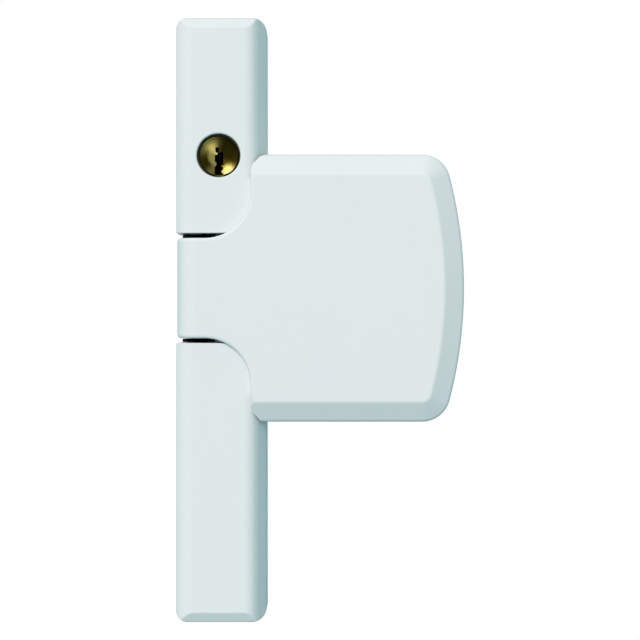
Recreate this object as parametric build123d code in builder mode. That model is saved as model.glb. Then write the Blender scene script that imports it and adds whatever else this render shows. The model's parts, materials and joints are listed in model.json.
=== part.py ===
from build123d import *
from math import atan2, cos, degrees, hypot, radians, sin
import os

# A window lock: a tall bar is screwed to the window frame, and a wide leaf swings on it to lie
# over the sash. A key cylinder in the bar's upper half shoots a bolt down into the leaf.
# Millimetres, X to the right, Z up, front towards -Y. The origin is the middle of the four end
# screw holes on the mounting face. A depth is a distance from that face towards the front.

# The bar and its two covers
bar_width = 23.5
bar_height = 157.0
bar_depth = 31.0
bar_left_round = 4.9
bar_right_round = 6.5
bar_left_corner = 2.8
bar_right_corner = 3.6
bar_bevel_height = 2.5
bar_bevel_depth = 2.2
bar_bevel_round = 1.0
cover_wall = 1.65
cover_lift = 0.3  # from the mounting face to the rims of the covers
rib_thickness = 1.2
rib_above_case = 2.2
lower_rib_zs = (-38.0, -58.0)
snap_ridge = 0.6
snap_length = 9.0
upper_snap_zs = (30.0, 52.0, 68.0)
lower_snap_zs = (-16.0, -48.0, -66.0)

# The base plate and its screw holes
plate_thickness = 3.0
plate_side_gap = 0.15
plate_edge_chamfer = 1.0
end_hole_spacing_x = 11.0
end_hole_spacing_z = 136.0
lower_hole_z = -48.0
slot_hole_x = 5.5
slot_hole_spacing = 16.0
mount_hole_radius = 2.75
mount_head_radius = 5.0

# The slot between the covers, and the hinge in it
slot_centre = 8.3
tongue_height = 26.0
hinge_gap = 1.25
hinge_x = -6.05
hinge_depth = 20.0
hinge_pin_radius = 2.5
hinge_pin_into_case = 11.0
hinge_pin_into_bearing = 14.0
hinge_pin_chamfer = 0.5
running_gap = 0.05
barrel_radius = 4.3
bush_wall = 0.65
bush_length = 9.0
washer_play = 0.15

# The leaf: flap, tongue and the steel inside them
leaf_front = 32.6
leaf_back = 15.5
leaf_height = 69.5
leaf_left = 8.1
leaf_right = 63.1
leaf_side_radius = 115.0
leaf_right_corner = 7.5
leaf_left_corner = 4.0
leaf_bevel_width = 5.2
leaf_bevel_depth = 3.6
leaf_front_round = 1.8  # where the bevel meets the front face
leaf_edge_round = 0.9  # along the whole outline
leaf_wall = 1.7
leaf_rim_gap = 0.2
leaf_swing_gap = 0.5  # between the leaf and the bar, at rest and over the whole swing
leaf_swing_past = 20.0  # the room for the bar runs on to this angle behind the hinge
tongue_left = -11.5
tongue_left_round = 5.2
tongue_fillet = 12.2
tongue_side_wall = 1.05
tongue_end_wall = 1.4
leaf_plate_thickness = 3.0
lock_bar_width = 7.0
lock_bar_depth = 8.0
boss_radius = 3.0
boss_left_x = 21.0
boss_right_x = 49.0
boss_spacing_z = 46.0
pad_radius = 6.0
pad_x = 43.0
pad_spacing_z = 26.0
pad_sink = 1.0
pad_height = 2.6
pad_chamfer = 0.6

# The key cylinder
cylinder_x = -0.6
cylinder_z = 42.6
plug_front = 29.8
plug_rear = 10.0
plug_radius = 4.8
plug_nose_radius = 5.2
plug_shoulder = 26.0
plug_rim_chamfer = 0.3
plug_rim_width = 0.75
plug_dish = 0.12
keyway_floor = 2.0  # the plug is whole behind the keyway
plug_running_gap = 0.04
housing_front = 27.0
housing_rear = 10.2
housing_radius = 7.0
chamber_block_width = 6.0
chamber_block_top = 14.6
pin_radius = 1.1
pin_bore_radius = 1.2
pin_front = 24.2
pin_pitch = 3.0
pin_cuts = (0.5, -0.4, 0.8, 0.0, -0.7)  # heights of the key pins' tips in the keyway
key_pin_top = 4.62
pin_floor_gap = 0.2
driver_bottom = 4.95
driver_length = 3.2
spring_wall = 0.3
cap_bottom = 13.4
cap_thickness = 1.0
cap_width = 3.2
face_hole_radius = 5.55
face_hole_chamfer = 0.8

# The cam, its clip and the bolt
tail_square = 4.4
tail_length = 2.1
tail_neck_radius = 1.7
tail_groove_radius = 1.25
tail_end = 6.8
clip_thickness = 0.5
clip_radius = 3.0
cam_thickness = 2.0
cam_hub_radius = 4.0
cam_lobe_radius = 2.6
crank_pin_radius = 1.25
crank_turn = 90.0
bolt_throw = 6.0
bolt_x = 3.0
bolt_radius = 2.5
bolt_tip_chamfer = 0.8
bolt_tip_gap = 0.4  # from the case's lower face to the withdrawn bolt's tip
bolt_plate_width = 8.4
bolt_plate_thickness = 3.0
bolt_arm_width = 6.0
bolt_arm_height = 3.5
bolt_plate_rim = 2.0  # above the slot for the crank pin
bolt_gap = 0.3
crank_slot_gap = 0.3
socket_gap = 0.25
socket_depth = 7.0

# The castings in the bar, and what fastens them
case_gap = 0.35
case_top = 62.8
case_floor = 1.85
pocket_gap = 0.1
bearing_bottom = -34.0
bearing_wall = 2.2
screw_radius = 1.5
screw_head_radius = 3.0
screw_gap = 0.05
case_screw_length = 12.0
case_screw_z = 28.5
case_top_screw_z = 60.6
bearing_screw_zs = (-11.0, -28.0)
cover_screw_length = 10.5
set_screw_depth = 13.0
set_screw_sink = 0.7
grub_radius = 2.0
grub_z = -14.0

# Places that follow from the sizes above
tongue_top = slot_centre + tongue_height / 2
tongue_bottom = slot_centre - tongue_height / 2
slot_top = tongue_top + hinge_gap
slot_bottom = tongue_bottom - hinge_gap
casting_inset = cover_wall + case_gap
casting_front = bar_depth - casting_inset
leaf_shoulder = leaf_front - leaf_bevel_depth
leaf_plate_front = leaf_back + leaf_plate_thickness
pin_depths = [pin_front - pin_pitch * i for i in range(len(pin_cuts))]
crank_radius = bolt_throw / 2 / sin(radians(crank_turn / 2))
bolt_plate_front = plate_thickness + bolt_gap + bolt_plate_thickness
bolt_tip = slot_top + bolt_tip_gap
case_chamber_bottom = slot_top + case_floor
bolt_arm_bottom = case_chamber_bottom + bolt_throw + bolt_gap
crank_z = cylinder_z + bolt_throw / 2
crank_slot_left = cylinder_x + crank_radius * cos(radians(crank_turn / 2)) - crank_pin_radius
crank_slot_right = cylinder_x + crank_radius + crank_pin_radius
bolt_plate_top = crank_z + crank_pin_radius + crank_slot_gap + bolt_plate_rim

# Planes: seen from above, from the front, from the side and from behind
hinge_spot = (hinge_x, -hinge_depth)
rear_face = Plane(origin=(0, 0, 0), x_dir=(-1, 0, 0), z_dir=(0, 1, 0))


def front_plane(depth):
    """A plane parallel to the mounting face, at a depth, with its normal to the front."""
    return Plane.XZ.offset(depth)


def tube_along_z(inner, outer, bottom, height):
    """A plain sleeve about the hinge axis."""
    with BuildPart() as sleeve:
        with BuildSketch(Plane.XY.offset(bottom)):
            with Locations(hinge_spot):
                Circle(outer)
                Circle(inner, mode=Mode.SUBTRACT)
        extrude(amount=height)
    return sleeve.part


def draw_bar_section(inset, rear):
    """The bar seen from above, moved inwards by an inset: flat front and two unequal rounds."""
    half = bar_width / 2 - inset
    front = bar_depth - inset
    left_round = bar_left_round - inset
    right_round = bar_right_round - inset
    with BuildLine() as line:
        Polyline(
            (-half, -front + left_round),
            (-half, -rear),
            (half, -rear),
            (half, -front + right_round),
        )
        CenterArc((half - right_round, -front + right_round), right_round, 0, -90)
        Line((half - right_round, -front), (-half + left_round, -front))
        CenterArc((-half + left_round, -front + left_round), left_round, -90, -90)
    make_face(line.edges())


def draw_bar_outline(inset):
    """The bar seen from the front: a tall rectangle with small round corners."""
    Rectangle(bar_width - 2 * inset, bar_height - 2 * inset)
    fillet(vertices().group_by(Axis.X)[0], bar_left_corner - inset)
    fillet(vertices().group_by(Axis.X)[-1], bar_right_corner - inset)


def draw_bar_side(inset):
    """The bar seen from the side: its two ends slope back from the front."""
    half = bar_height / 2 - inset
    front = bar_depth - inset
    with BuildLine() as line:
        Polyline(
            (0, -half),
            (-front + bar_bevel_depth, -half),
            (-front, -half + bar_bevel_height),
            (-front, half - bar_bevel_height),
            (-front + bar_bevel_depth, half),
            (0, half),
            close=True,
        )
    make_face(line.edges())


def bar_body(inset, low, high, rear):
    """The bar's body between two heights, moved inwards by an inset."""
    with BuildPart() as body:
        with BuildSketch(Plane.XY.offset(low)):
            draw_bar_section(inset, rear)
        extrude(amount=high - low)
        with BuildSketch(Plane.XZ):
            draw_bar_outline(inset)
        extrude(amount=bar_depth, mode=Mode.INTERSECT)
        with BuildSketch(Plane.YZ):
            draw_bar_side(inset)
        extrude(amount=bar_width / 2, both=True, mode=Mode.INTERSECT)
    return body.part


def snap_ridges(heights):
    """Ridges inside a cover's rims that grip behind the base plate's chamfered edges."""
    wall = bar_width / 2 - cover_wall
    with BuildPart() as ridges:
        for height in heights:
            for side in (-1, 1):
                with BuildSketch(Plane.XY.offset(height - snap_length / 2)):
                    with BuildLine() as line:
                        Polyline(
                            (side * wall, -cover_lift),
                            (side * (wall - snap_ridge), -cover_lift),
                            (side * wall, -cover_lift - snap_ridge),
                            close=True,
                        )
                    make_face(line.edges())
                extrude(amount=snap_length)
    return ridges.part


def bar_cover(low, high, rib_heights, snap_heights):
    """One of the bar's moulded covers, open at the back and at the slot, with ribs inside."""
    outside = bar_body(0, low, high, cover_lift)
    open_low = low if high > slot_top else low - cover_wall
    open_high = high if low < slot_bottom else high + cover_wall
    inside = bar_body(cover_wall, open_low, open_high, 0)
    ridges = snap_ridges(snap_heights)
    with BuildPart() as ribs:
        for height in rib_heights:
            with BuildSketch(Plane.XY.offset(height - rib_thickness / 2)):
                draw_bar_section(cover_wall / 2, plate_thickness + cover_lift)
            extrude(amount=rib_thickness)
    with BuildPart() as cover:
        add(outside)
        slope = faces().filter_by(
            lambda f: f.normal_at().Y < -0.1 and 0.1 < abs(f.normal_at().Z) < 0.9
        )
        fillet(slope.edges(), bar_bevel_round)
        add(inside, mode=Mode.SUBTRACT)
        add(ribs.part)
        add(ridges)
    return cover.part


def draw_flap(inset, left):
    """The flap from the front: level top and bottom, and a long curve between round corners."""
    right = leaf_right - inset
    with Locations(((left + right) / 2, slot_centre)):
        Rectangle(right - left, leaf_height - 2 * inset)
    with Locations((leaf_right - leaf_side_radius, slot_centre)):
        Circle(leaf_side_radius - inset, mode=Mode.INTERSECT)
    fillet(vertices().group_by(Axis.X)[-1], leaf_right_corner - inset)


def flap_body(inset, left):
    """The bevelled flap, moved inwards by an inset, with a plain edge on its left."""
    with BuildPart() as body:
        with BuildSketch(front_plane(leaf_back)):
            draw_flap(inset, left)
        extrude(amount=leaf_shoulder - inset - leaf_back)
        with BuildSketch(front_plane(leaf_shoulder - inset)):
            draw_flap(inset, left)
        with BuildSketch(front_plane(leaf_front - inset)):
            draw_flap(inset + leaf_bevel_width, left)
        loft(ruled=True)
        front_edges = faces().sort_by(Axis.Y)[0].edges().filter_by(
            lambda e: e.center().X > left + 0.01
        )
        fillet(front_edges, leaf_front_round)
    return body.part


def draw_swing_relief(grow):
    """Room for the bar, seen from above: along its right round, then on a circle about the hinge."""
    reach = bar_right_round + leaf_swing_gap + grow
    round_x = bar_width / 2 - bar_right_round
    round_y = -(bar_depth - bar_right_round)
    across = round_x - hinge_x
    along = round_y + hinge_depth
    turn = degrees(atan2(along, across))
    swing_radius = hypot(across, along) + reach
    far = -2 * bar_width
    end_x = hinge_x + swing_radius * cos(radians(leaf_swing_past))
    end_y = -hinge_depth + swing_radius * sin(radians(leaf_swing_past))
    with BuildLine() as line:
        CenterArc((round_x, round_y), reach, -90, 90 + turn)
        CenterArc(hinge_spot, swing_radius, turn, leaf_swing_past - turn)
        Polyline((end_x, end_y), (far, end_y), (far, round_y - reach), (round_x, round_y - reach))
    make_face(line.edges())


def swing_relief(grow, end_grow):
    """The room above and below the tongue that the leaf leaves for the bar."""
    reach = leaf_height
    with BuildPart() as relief:
        for start, amount in (
            (tongue_top - end_grow, reach),
            (tongue_bottom + end_grow, -reach),
        ):
            with BuildSketch(Plane.XY.offset(start)):
                draw_swing_relief(grow)
            extrude(amount=amount)
    return relief.part


def countersunk_screws(spots, face, length, radius, head_radius):
    """Countersunk screws that start in a face and run in along its normal's reverse."""
    with BuildPart() as screws:
        with BuildSketch(face):
            with Locations(*spots):
                Circle(radius)
        extrude(amount=-length)
        with BuildSketch(face):
            with Locations(*spots):
                Circle(head_radius)
        extrude(amount=-(head_radius - radius), taper=45)
    return screws.part


# Base plate: the steel that takes the screws, with chamfered edges for the covers' ridges
with BuildPart() as base_plate:
    with BuildSketch(Plane.XZ):
        draw_bar_outline(cover_wall + plate_side_gap)
    extrude(amount=plate_thickness)
    long_edges = edges().filter_by(Axis.Z).group_by(Axis.Y)[-1]
    chamfer(long_edges, plate_edge_chamfer)
    with Locations(front_plane(plate_thickness)):
        with GridLocations(end_hole_spacing_x, end_hole_spacing_z, 2, 2):
            CounterSinkHole(mount_hole_radius, mount_head_radius, counter_sink_angle=90)
        with Locations((0, lower_hole_z)):
            with GridLocations(end_hole_spacing_x, 1, 2, 1):
                CounterSinkHole(mount_hole_radius, mount_head_radius, counter_sink_angle=90)
        with Locations((slot_hole_x, slot_centre)):
            with GridLocations(1, slot_hole_spacing, 1, 2):
                CounterSinkHole(mount_hole_radius, mount_head_radius, counter_sink_angle=90)
    case_screw_spots = [(-hinge_x, case_screw_z), (-cylinder_x, case_top_screw_z)]
    case_screw_spots += [(-hinge_x, z) for z in bearing_screw_zs]
    with Locations(rear_face):
        with Locations(*case_screw_spots):
            CounterSinkHole(
                screw_radius + screw_gap,
                screw_head_radius + screw_gap,
                counter_sink_angle=90,
            )
base_plate.part.label = "base_plate"

# Upper cover: moulded shell with the round hole for the key
upper_shell = bar_cover(slot_top, bar_height / 2, (case_top + rib_above_case,), upper_snap_zs)
with BuildPart() as upper_cover:
    add(upper_shell)
    with BuildSketch(front_plane(casting_front)):
        with Locations((cylinder_x, cylinder_z)):
            Circle(face_hole_radius)
    extrude(amount=bar_depth - casting_front, mode=Mode.SUBTRACT)
    rim = edges().filter_by(GeomType.CIRCLE).group_by(Axis.Y)[0]
    chamfer(rim, face_hole_chamfer)
upper_cover.part.label = "upper_cover"

# Lower cover: the same moulding without the key hole, closed at its lower end
lower_shell = bar_cover(-bar_height / 2, slot_bottom, lower_rib_zs, lower_snap_zs)
with BuildPart() as lower_cover:
    add(lower_shell)
lower_cover.part.label = "lower_cover"

# Lock case: the casting that holds the cylinder, guides the bolt and carries the pin's upper end
case_blank = bar_body(casting_inset, slot_top, case_top, plate_thickness)
with BuildPart() as lock_case:
    add(case_blank)
    with BuildSketch(front_plane(plate_thickness)):
        with Locations((cylinder_x, cylinder_z)):
            Circle(housing_radius + pocket_gap)
        with Locations((cylinder_x, cylinder_z)):
            Rectangle(
                chamber_block_width + 2 * pocket_gap,
                chamber_block_top + pocket_gap,
                align=(Align.CENTER, Align.MIN),
            )
    extrude(amount=housing_front - plate_thickness, mode=Mode.SUBTRACT)
    with BuildSketch(front_plane(plate_thickness)):
        with Locations((cylinder_x, cylinder_z)):
            Circle(plug_nose_radius + case_gap / 2)
    extrude(amount=casting_front, mode=Mode.SUBTRACT)
    # Channel for the bolt's plate, and the chamber in which its arm travels
    with BuildSketch(front_plane(plate_thickness)):
        with Locations((bolt_x, case_chamber_bottom)):
            Rectangle(
                bolt_plate_width + 2 * bolt_gap,
                bolt_plate_top + bolt_gap - case_chamber_bottom,
                align=(Align.CENTER, Align.MIN),
            )
    extrude(amount=bolt_plate_front + bolt_gap - plate_thickness, mode=Mode.SUBTRACT)
    with BuildSketch(front_plane(plate_thickness)):
        with Locations((bolt_x, case_chamber_bottom)):
            Rectangle(
                bolt_arm_width + 2 * bolt_gap,
                bolt_throw + bolt_arm_height + 4 * bolt_gap,
                align=(Align.CENTER, Align.MIN),
            )
    extrude(
        amount=hinge_depth + bolt_arm_width / 2 + bolt_gap - plate_thickness,
        mode=Mode.SUBTRACT,
    )
    with BuildSketch(Plane.XY.offset(slot_top)):
        with Locations((bolt_x, -hinge_depth)):
            Circle(bolt_radius + socket_gap)
    extrude(amount=case_floor, mode=Mode.SUBTRACT)
    # Blind bore for the hinge pin
    with BuildSketch(Plane.XY.offset(slot_top)):
        with Locations(hinge_spot):
            Circle(hinge_pin_radius + running_gap)
    extrude(amount=hinge_pin_into_case + running_gap, mode=Mode.SUBTRACT)
    # Screw holes from the base plate, and the set screw's hole through the left wall
    with Locations(rear_face.offset(-plate_thickness)):
        with Locations(*case_screw_spots[:2]):
            Hole(screw_radius + screw_gap, depth=case_screw_length - plate_thickness + screw_gap)
    with BuildSketch(Plane.YZ.offset(-bar_width / 2)):
        with Locations((-set_screw_depth, cylinder_z)):
            Circle(screw_radius + screw_gap)
    extrude(amount=bar_width / 2 + cylinder_x, mode=Mode.SUBTRACT)
lock_case.part.label = "lock_case"

# Lower bearing: the casting that carries the pin's lower end, cored out from below
bearing_blank = bar_body(casting_inset, bearing_bottom, slot_bottom, plate_thickness)
with BuildPart() as lower_bearing:
    add(bearing_blank)
    with BuildSketch(Plane.XY.offset(bearing_bottom)):
        with Locations(hinge_spot):
            Circle(hinge_pin_radius + running_gap)
    extrude(amount=slot_bottom - bearing_bottom, mode=Mode.SUBTRACT)
    core_left = hinge_x + barrel_radius + bearing_wall
    core_right = bar_width / 2 - casting_inset - bearing_wall
    core_rear = plate_thickness + bearing_wall
    core_front = casting_front - bearing_wall
    with BuildSketch(Plane.XY.offset(bearing_bottom)):
        with Locations(((core_left + core_right) / 2, -(core_rear + core_front) / 2)):
            RectangleRounded(core_right - core_left, core_front - core_rear, bearing_wall)
    extrude(amount=slot_bottom - bearing_bottom - 2 * bearing_wall, mode=Mode.SUBTRACT)
    with Locations(rear_face.offset(-plate_thickness)):
        with Locations(*case_screw_spots[2:]):
            Hole(screw_radius + screw_gap, depth=case_screw_length - plate_thickness + screw_gap)
    with BuildSketch(front_plane(hinge_depth)):
        with Locations((hinge_x, grub_z)):
            Circle(grub_radius + screw_gap)
    extrude(amount=casting_front - hinge_depth, mode=Mode.SUBTRACT)
lower_bearing.part.label = "lower_bearing"

# Screws through the base plate into the two castings
case_screws = countersunk_screws(
    case_screw_spots, rear_face, case_screw_length, screw_radius, screw_head_radius
)
case_screws.label = "case_screws"

# Grub screw that bears on the hinge pin, and the set screw that keeps the cylinder in its pocket
with BuildPart() as grub_screw:
    with BuildSketch(front_plane(hinge_depth + hinge_pin_radius + running_gap)):
        with Locations((hinge_x, grub_z)):
            Circle(grub_radius)
    extrude(amount=casting_front - hinge_depth - hinge_pin_radius - 2 * screw_gap)
    with BuildSketch(front_plane(casting_front)):
        with Locations((hinge_x, grub_z)):
            RegularPolygon(grub_radius / 2, 6)
    extrude(amount=-grub_radius, mode=Mode.SUBTRACT)
grub_screw.part.label = "grub_screw"

housing_left = cylinder_x - housing_radius
set_screw_out = bar_width / 2 - casting_inset - case_gap
with BuildPart() as set_screw:
    with BuildSketch(Plane.YZ.offset(-set_screw_out)):
        with Locations((-set_screw_depth, cylinder_z)):
            Circle(screw_radius)
    extrude(amount=housing_left + set_screw_sink + set_screw_out)
    with BuildSketch(Plane.YZ.offset(-set_screw_out)):
        with Locations((-set_screw_depth, cylinder_z)):
            RegularPolygon(screw_radius / 2, 6)
    extrude(amount=screw_radius, mode=Mode.SUBTRACT)
set_screw.part.label = "set_screw"

# Cylinder housing: brass body with five pin chambers above the bore
with BuildPart() as cylinder_housing:
    with BuildSketch(front_plane(housing_rear)):
        with Locations((cylinder_x, cylinder_z)):
            Circle(housing_radius)
            Rectangle(
                chamber_block_width, chamber_block_top, align=(Align.CENTER, Align.MIN)
            )
    extrude(amount=housing_front - housing_rear)
    with BuildSketch(front_plane(housing_rear)):
        with Locations((cylinder_x, cylinder_z)):
            Circle(plug_radius + plug_running_gap)
    extrude(amount=housing_front - housing_rear, mode=Mode.SUBTRACT)
    with BuildSketch(front_plane(plug_shoulder - plug_running_gap)):
        with Locations((cylinder_x, cylinder_z)):
            Circle(plug_nose_radius + plug_running_gap)
    extrude(amount=housing_front - plug_shoulder + plug_running_gap, mode=Mode.SUBTRACT)
    with BuildSketch(Plane.XY.offset(cylinder_z)):
        with Locations(*[(cylinder_x, -depth) for depth in pin_depths]):
            Circle(pin_bore_radius)
    extrude(amount=chamber_block_top, mode=Mode.SUBTRACT)
    with BuildSketch(front_plane(housing_rear)):
        with Locations((cylinder_x, cylinder_z + cap_bottom)):
            Rectangle(
                cap_width + screw_gap,
                chamber_block_top - cap_bottom,
                align=(Align.CENTER, Align.MIN),
            )
    extrude(amount=housing_front - housing_rear, mode=Mode.SUBTRACT)
    with BuildSketch(Plane.YZ.offset(housing_left)):
        with Locations((-set_screw_depth, cylinder_z)):
            Circle(screw_radius + screw_gap)
    extrude(amount=set_screw_sink + screw_gap, mode=Mode.SUBTRACT)
cylinder_housing.part.label = "cylinder_housing"

# Strip that closes the pin chambers
with BuildPart() as chamber_cap:
    with BuildSketch(front_plane(housing_rear + screw_gap)):
        with Locations((cylinder_x, cylinder_z + cap_bottom)):
            Rectangle(cap_width, cap_thickness, align=(Align.CENTER, Align.MIN))
    extrude(amount=housing_front - housing_rear - 2 * screw_gap)
chamber_cap.part.label = "chamber_cap"

# Driver pins and their springs, above the line where the plug turns
driver_top = cylinder_z + driver_bottom + driver_length
with BuildPart() as driver_pins:
    with BuildSketch(Plane.XY.offset(cylinder_z + driver_bottom)):
        with Locations(*[(cylinder_x, -depth) for depth in pin_depths]):
            Circle(pin_radius)
    extrude(amount=driver_length)
driver_pins.part.label = "driver_pins"

with BuildPart() as pin_springs:
    with BuildSketch(Plane.XY.offset(driver_top)):
        with Locations(*[(cylinder_x, -depth) for depth in pin_depths]):
            Circle(pin_radius)
            Circle(pin_radius - spring_wall, mode=Mode.SUBTRACT)
    extrude(amount=cylinder_z + cap_bottom - driver_top)
pin_springs.part.label = "pin_springs"

# Plug: nose, body and tail, with the warded keyway and the lower halves of the pin chambers
keyway = [
    (-0.95, 2.3),
    (-0.95, 1.15),
    (-0.35, 0.75),
    (-0.35, 0.45),
    (-1.1, 0.2),
    (-1.1, -1.4),
    (-0.7, -1.7),
    (-0.7, -2.5),
    (-1.1, -2.8),
    (-1.1, -6.0),
    (1.1, -6.0),
    (1.1, -4.6),
    (0.6, -4.3),
    (0.6, -3.8),
    (1.1, -3.5),
    (1.1, -2.9),
    (0.5, -2.6),
    (1.1, -2.2),
    (1.1, 1.0),
    (0.15, 1.3),
    (0.15, 2.3),
]
with BuildPart() as cylinder_plug:
    with BuildSketch(front_plane(plug_rear)):
        with Locations((cylinder_x, cylinder_z)):
            Circle(plug_radius)
    extrude(amount=plug_shoulder - plug_rear)
    with BuildSketch(front_plane(plug_shoulder)):
        with Locations((cylinder_x, cylinder_z)):
            Circle(plug_nose_radius)
    extrude(amount=plug_front - plug_shoulder)
    nose_rim = edges().filter_by(GeomType.CIRCLE).group_by(Axis.Y)[0]
    chamfer(nose_rim, plug_rim_chamfer)
    # The face is turned a little lower than its rim
    with BuildSketch(front_plane(plug_front)):
        with Locations((cylinder_x, cylinder_z)):
            Circle(plug_nose_radius - plug_rim_width)
    extrude(amount=-plug_dish, mode=Mode.SUBTRACT)
    with BuildSketch(front_plane(plug_rear + keyway_floor)):
        with Locations((cylinder_x, cylinder_z)):
            with BuildLine():
                Polyline(*[(cylinder_x + x, cylinder_z + z) for x, z in keyway], close=True)
            make_face()
    extrude(amount=plug_front - plug_rear, mode=Mode.SUBTRACT)
    bore_floor = min(pin_cuts) - pin_floor_gap
    with BuildSketch(Plane.XY.offset(cylinder_z + bore_floor)):
        with Locations(*[(cylinder_x, -depth) for depth in pin_depths]):
            Circle(pin_bore_radius)
    extrude(amount=plug_radius - bore_floor, mode=Mode.SUBTRACT)
    with BuildSketch(front_plane(plug_rear)):
        with Locations((cylinder_x, cylinder_z)):
            Rectangle(tail_square, tail_square)
    extrude(amount=-tail_length)
    with BuildSketch(front_plane(plug_rear - tail_length)):
        with Locations((cylinder_x, cylinder_z)):
            Circle(tail_groove_radius)
    extrude(amount=-(clip_thickness + 2 * screw_gap))
    with BuildSketch(front_plane(tail_end)):
        with Locations((cylinder_x, cylinder_z)):
            Circle(tail_neck_radius)
    extrude(amount=plug_rear - tail_length - clip_thickness - 2 * screw_gap - tail_end)
cylinder_plug.part.label = "cylinder_plug"

# Key pins, held level with the plug's surface as a key holds them
with BuildPart() as key_pins:
    for depth, cut in zip(pin_depths, pin_cuts):
        with BuildSketch(Plane.XY.offset(cylinder_z + cut)):
            with Locations((cylinder_x, -depth)):
                Circle(pin_radius)
        extrude(amount=key_pin_top - cut)
    tips = edges().filter_by(GeomType.CIRCLE)
    tips = [tip for tip in tips if tip.center().Z < cylinder_z + max(pin_cuts) + pin_radius]
    chamfer(tips, pin_radius / 2)
key_pins.part.label = "key_pins"

# Cam: a lobed plate on the plug's square, whose crank pin drives the bolt
cam_front = plug_rear - screw_gap
cam_rear = cam_front - cam_thickness
crank_spot = (
    cylinder_x + crank_radius * cos(radians(crank_turn / 2)),
    cylinder_z + crank_radius * sin(radians(crank_turn / 2)),
)
with BuildPart() as cam:
    with BuildSketch(front_plane(cam_rear)) as cam_outline:
        with Locations((cylinder_x, cylinder_z)):
            Circle(cam_hub_radius)
        with Locations(crank_spot):
            Circle(cam_lobe_radius)
        make_hull()
        with Locations((cylinder_x, cylinder_z)):
            Rectangle(
                tail_square + 2 * screw_gap, tail_square + 2 * screw_gap, mode=Mode.SUBTRACT
            )
    extrude(amount=cam_thickness)
    with BuildSketch(front_plane(cam_rear)):
        with Locations(crank_spot):
            Circle(crank_pin_radius)
    extrude(amount=-(cam_rear - plate_thickness - 3 * bolt_gap))
cam.part.label = "cam"

# Clip that keeps the cam and the plug in place: a ring with an open side
clip_front = plug_rear - tail_length - screw_gap
with BuildPart() as cam_clip:
    with BuildSketch(front_plane(clip_front - clip_thickness)):
        with Locations((cylinder_x, cylinder_z)):
            Circle(clip_radius)
            Circle(tail_groove_radius + screw_gap, mode=Mode.SUBTRACT)
            Rectangle(
                2 * tail_groove_radius,
                clip_radius + screw_gap,
                align=(Align.CENTER, Align.MAX),
                mode=Mode.SUBTRACT,
            )
    extrude(amount=clip_thickness)
cam_clip.part.label = "cam_clip"

# Bolt: a plate behind the cylinder, an arm under it and the round bolt that enters the leaf
with BuildPart() as locking_bolt:
    with BuildSketch(front_plane(plate_thickness + bolt_gap)):
        with Locations((bolt_x, bolt_arm_bottom)):
            Rectangle(
                bolt_plate_width,
                bolt_plate_top - bolt_arm_bottom,
                align=(Align.CENTER, Align.MIN),
            )
        slot_middle = (crank_slot_left + crank_slot_right) / 2
        with Locations((slot_middle, crank_z)):
            Rectangle(
                crank_slot_right - crank_slot_left + 2 * crank_slot_gap,
                2 * (crank_pin_radius + crank_slot_gap),
                mode=Mode.SUBTRACT,
            )
    extrude(amount=bolt_plate_thickness)
    with BuildSketch(Plane.XY.offset(bolt_arm_bottom)):
        arm_front = hinge_depth + bolt_arm_width / 2
        arm_rear = plate_thickness + bolt_gap
        with Locations((bolt_x, -(arm_front + arm_rear) / 2)):
            Rectangle(bolt_arm_width, arm_front - arm_rear)
        fillet(vertices().group_by(Axis.Y)[0], bolt_arm_width / 2 - screw_gap)
    extrude(amount=bolt_arm_height)
    with BuildSketch(Plane.XY.offset(bolt_tip)):
        with Locations((bolt_x, -hinge_depth)):
            Circle(bolt_radius)
    extrude(amount=bolt_arm_bottom - bolt_tip)
    tip_edge = edges().filter_by(GeomType.CIRCLE).group_by(Axis.Z)[0]
    chamfer(tip_edge, bolt_tip_chamfer)
locking_bolt.part.label = "locking_bolt"

# Hinge pin, washers in the two gaps and the bushes in the leaf's barrel
pin_low = slot_bottom - hinge_pin_into_bearing
pin_high = slot_top + hinge_pin_into_case
with BuildPart() as hinge_pin:
    with BuildSketch(Plane.XY.offset(pin_low)):
        with Locations(hinge_spot):
            Circle(hinge_pin_radius)
    extrude(amount=pin_high - pin_low)
    chamfer(edges().filter_by(GeomType.CIRCLE), hinge_pin_chamfer)
hinge_pin.part.label = "hinge_pin"

washer_inner = hinge_pin_radius + running_gap
washer_height = hinge_gap - 2 * washer_play
washer_lows = (tongue_top + washer_play, slot_bottom + washer_play)
washers = [
    tube_along_z(washer_inner, barrel_radius, low, washer_height) for low in washer_lows
]
with BuildPart() as hinge_washers:
    add(washers)
hinge_washers.part.label = "hinge_washers"

bush_outer = hinge_pin_radius + running_gap + bush_wall
bush_lows = (tongue_bottom, tongue_top - bush_length)
bushes = [
    tube_along_z(hinge_pin_radius + running_gap, bush_outer, low, bush_length)
    for low in bush_lows
]
with BuildPart() as hinge_bushes:
    add(bushes)
hinge_bushes.part.label = "hinge_bushes"

# Leaf cover: the moulded flap and tongue, hollow from behind
flap_outside = flap_body(0, 2 * tongue_left)
flap_inside = flap_body(leaf_wall, leaf_left)
relief = swing_relief(0, 0)
grown_relief = swing_relief(leaf_wall, tongue_end_wall)
boss_spots = [
    (x, slot_centre + side * boss_spacing_z / 2) for x in (boss_left_x, boss_right_x) for side in (-1, 1)
]
with BuildPart() as leaf_hollow:
    add(flap_inside)
    add(grown_relief, mode=Mode.SUBTRACT)
    inner_left = tongue_left + tongue_side_wall
    with BuildSketch(Plane.XY.offset(tongue_bottom + tongue_end_wall)):
        inner_round = tongue_left_round - tongue_side_wall
        with Locations((inner_left, -leaf_back)):
            Rectangle(
                leaf_left + 2 * leaf_wall - inner_left,
                leaf_front - leaf_wall - leaf_back,
                align=(Align.MIN, Align.MAX),
            )
        front_left = vertices().group_by(Axis.Y)[0].sort_by(Axis.X)[0]
        fillet(front_left, inner_round)
    extrude(amount=tongue_height - 2 * tongue_end_wall)
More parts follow.
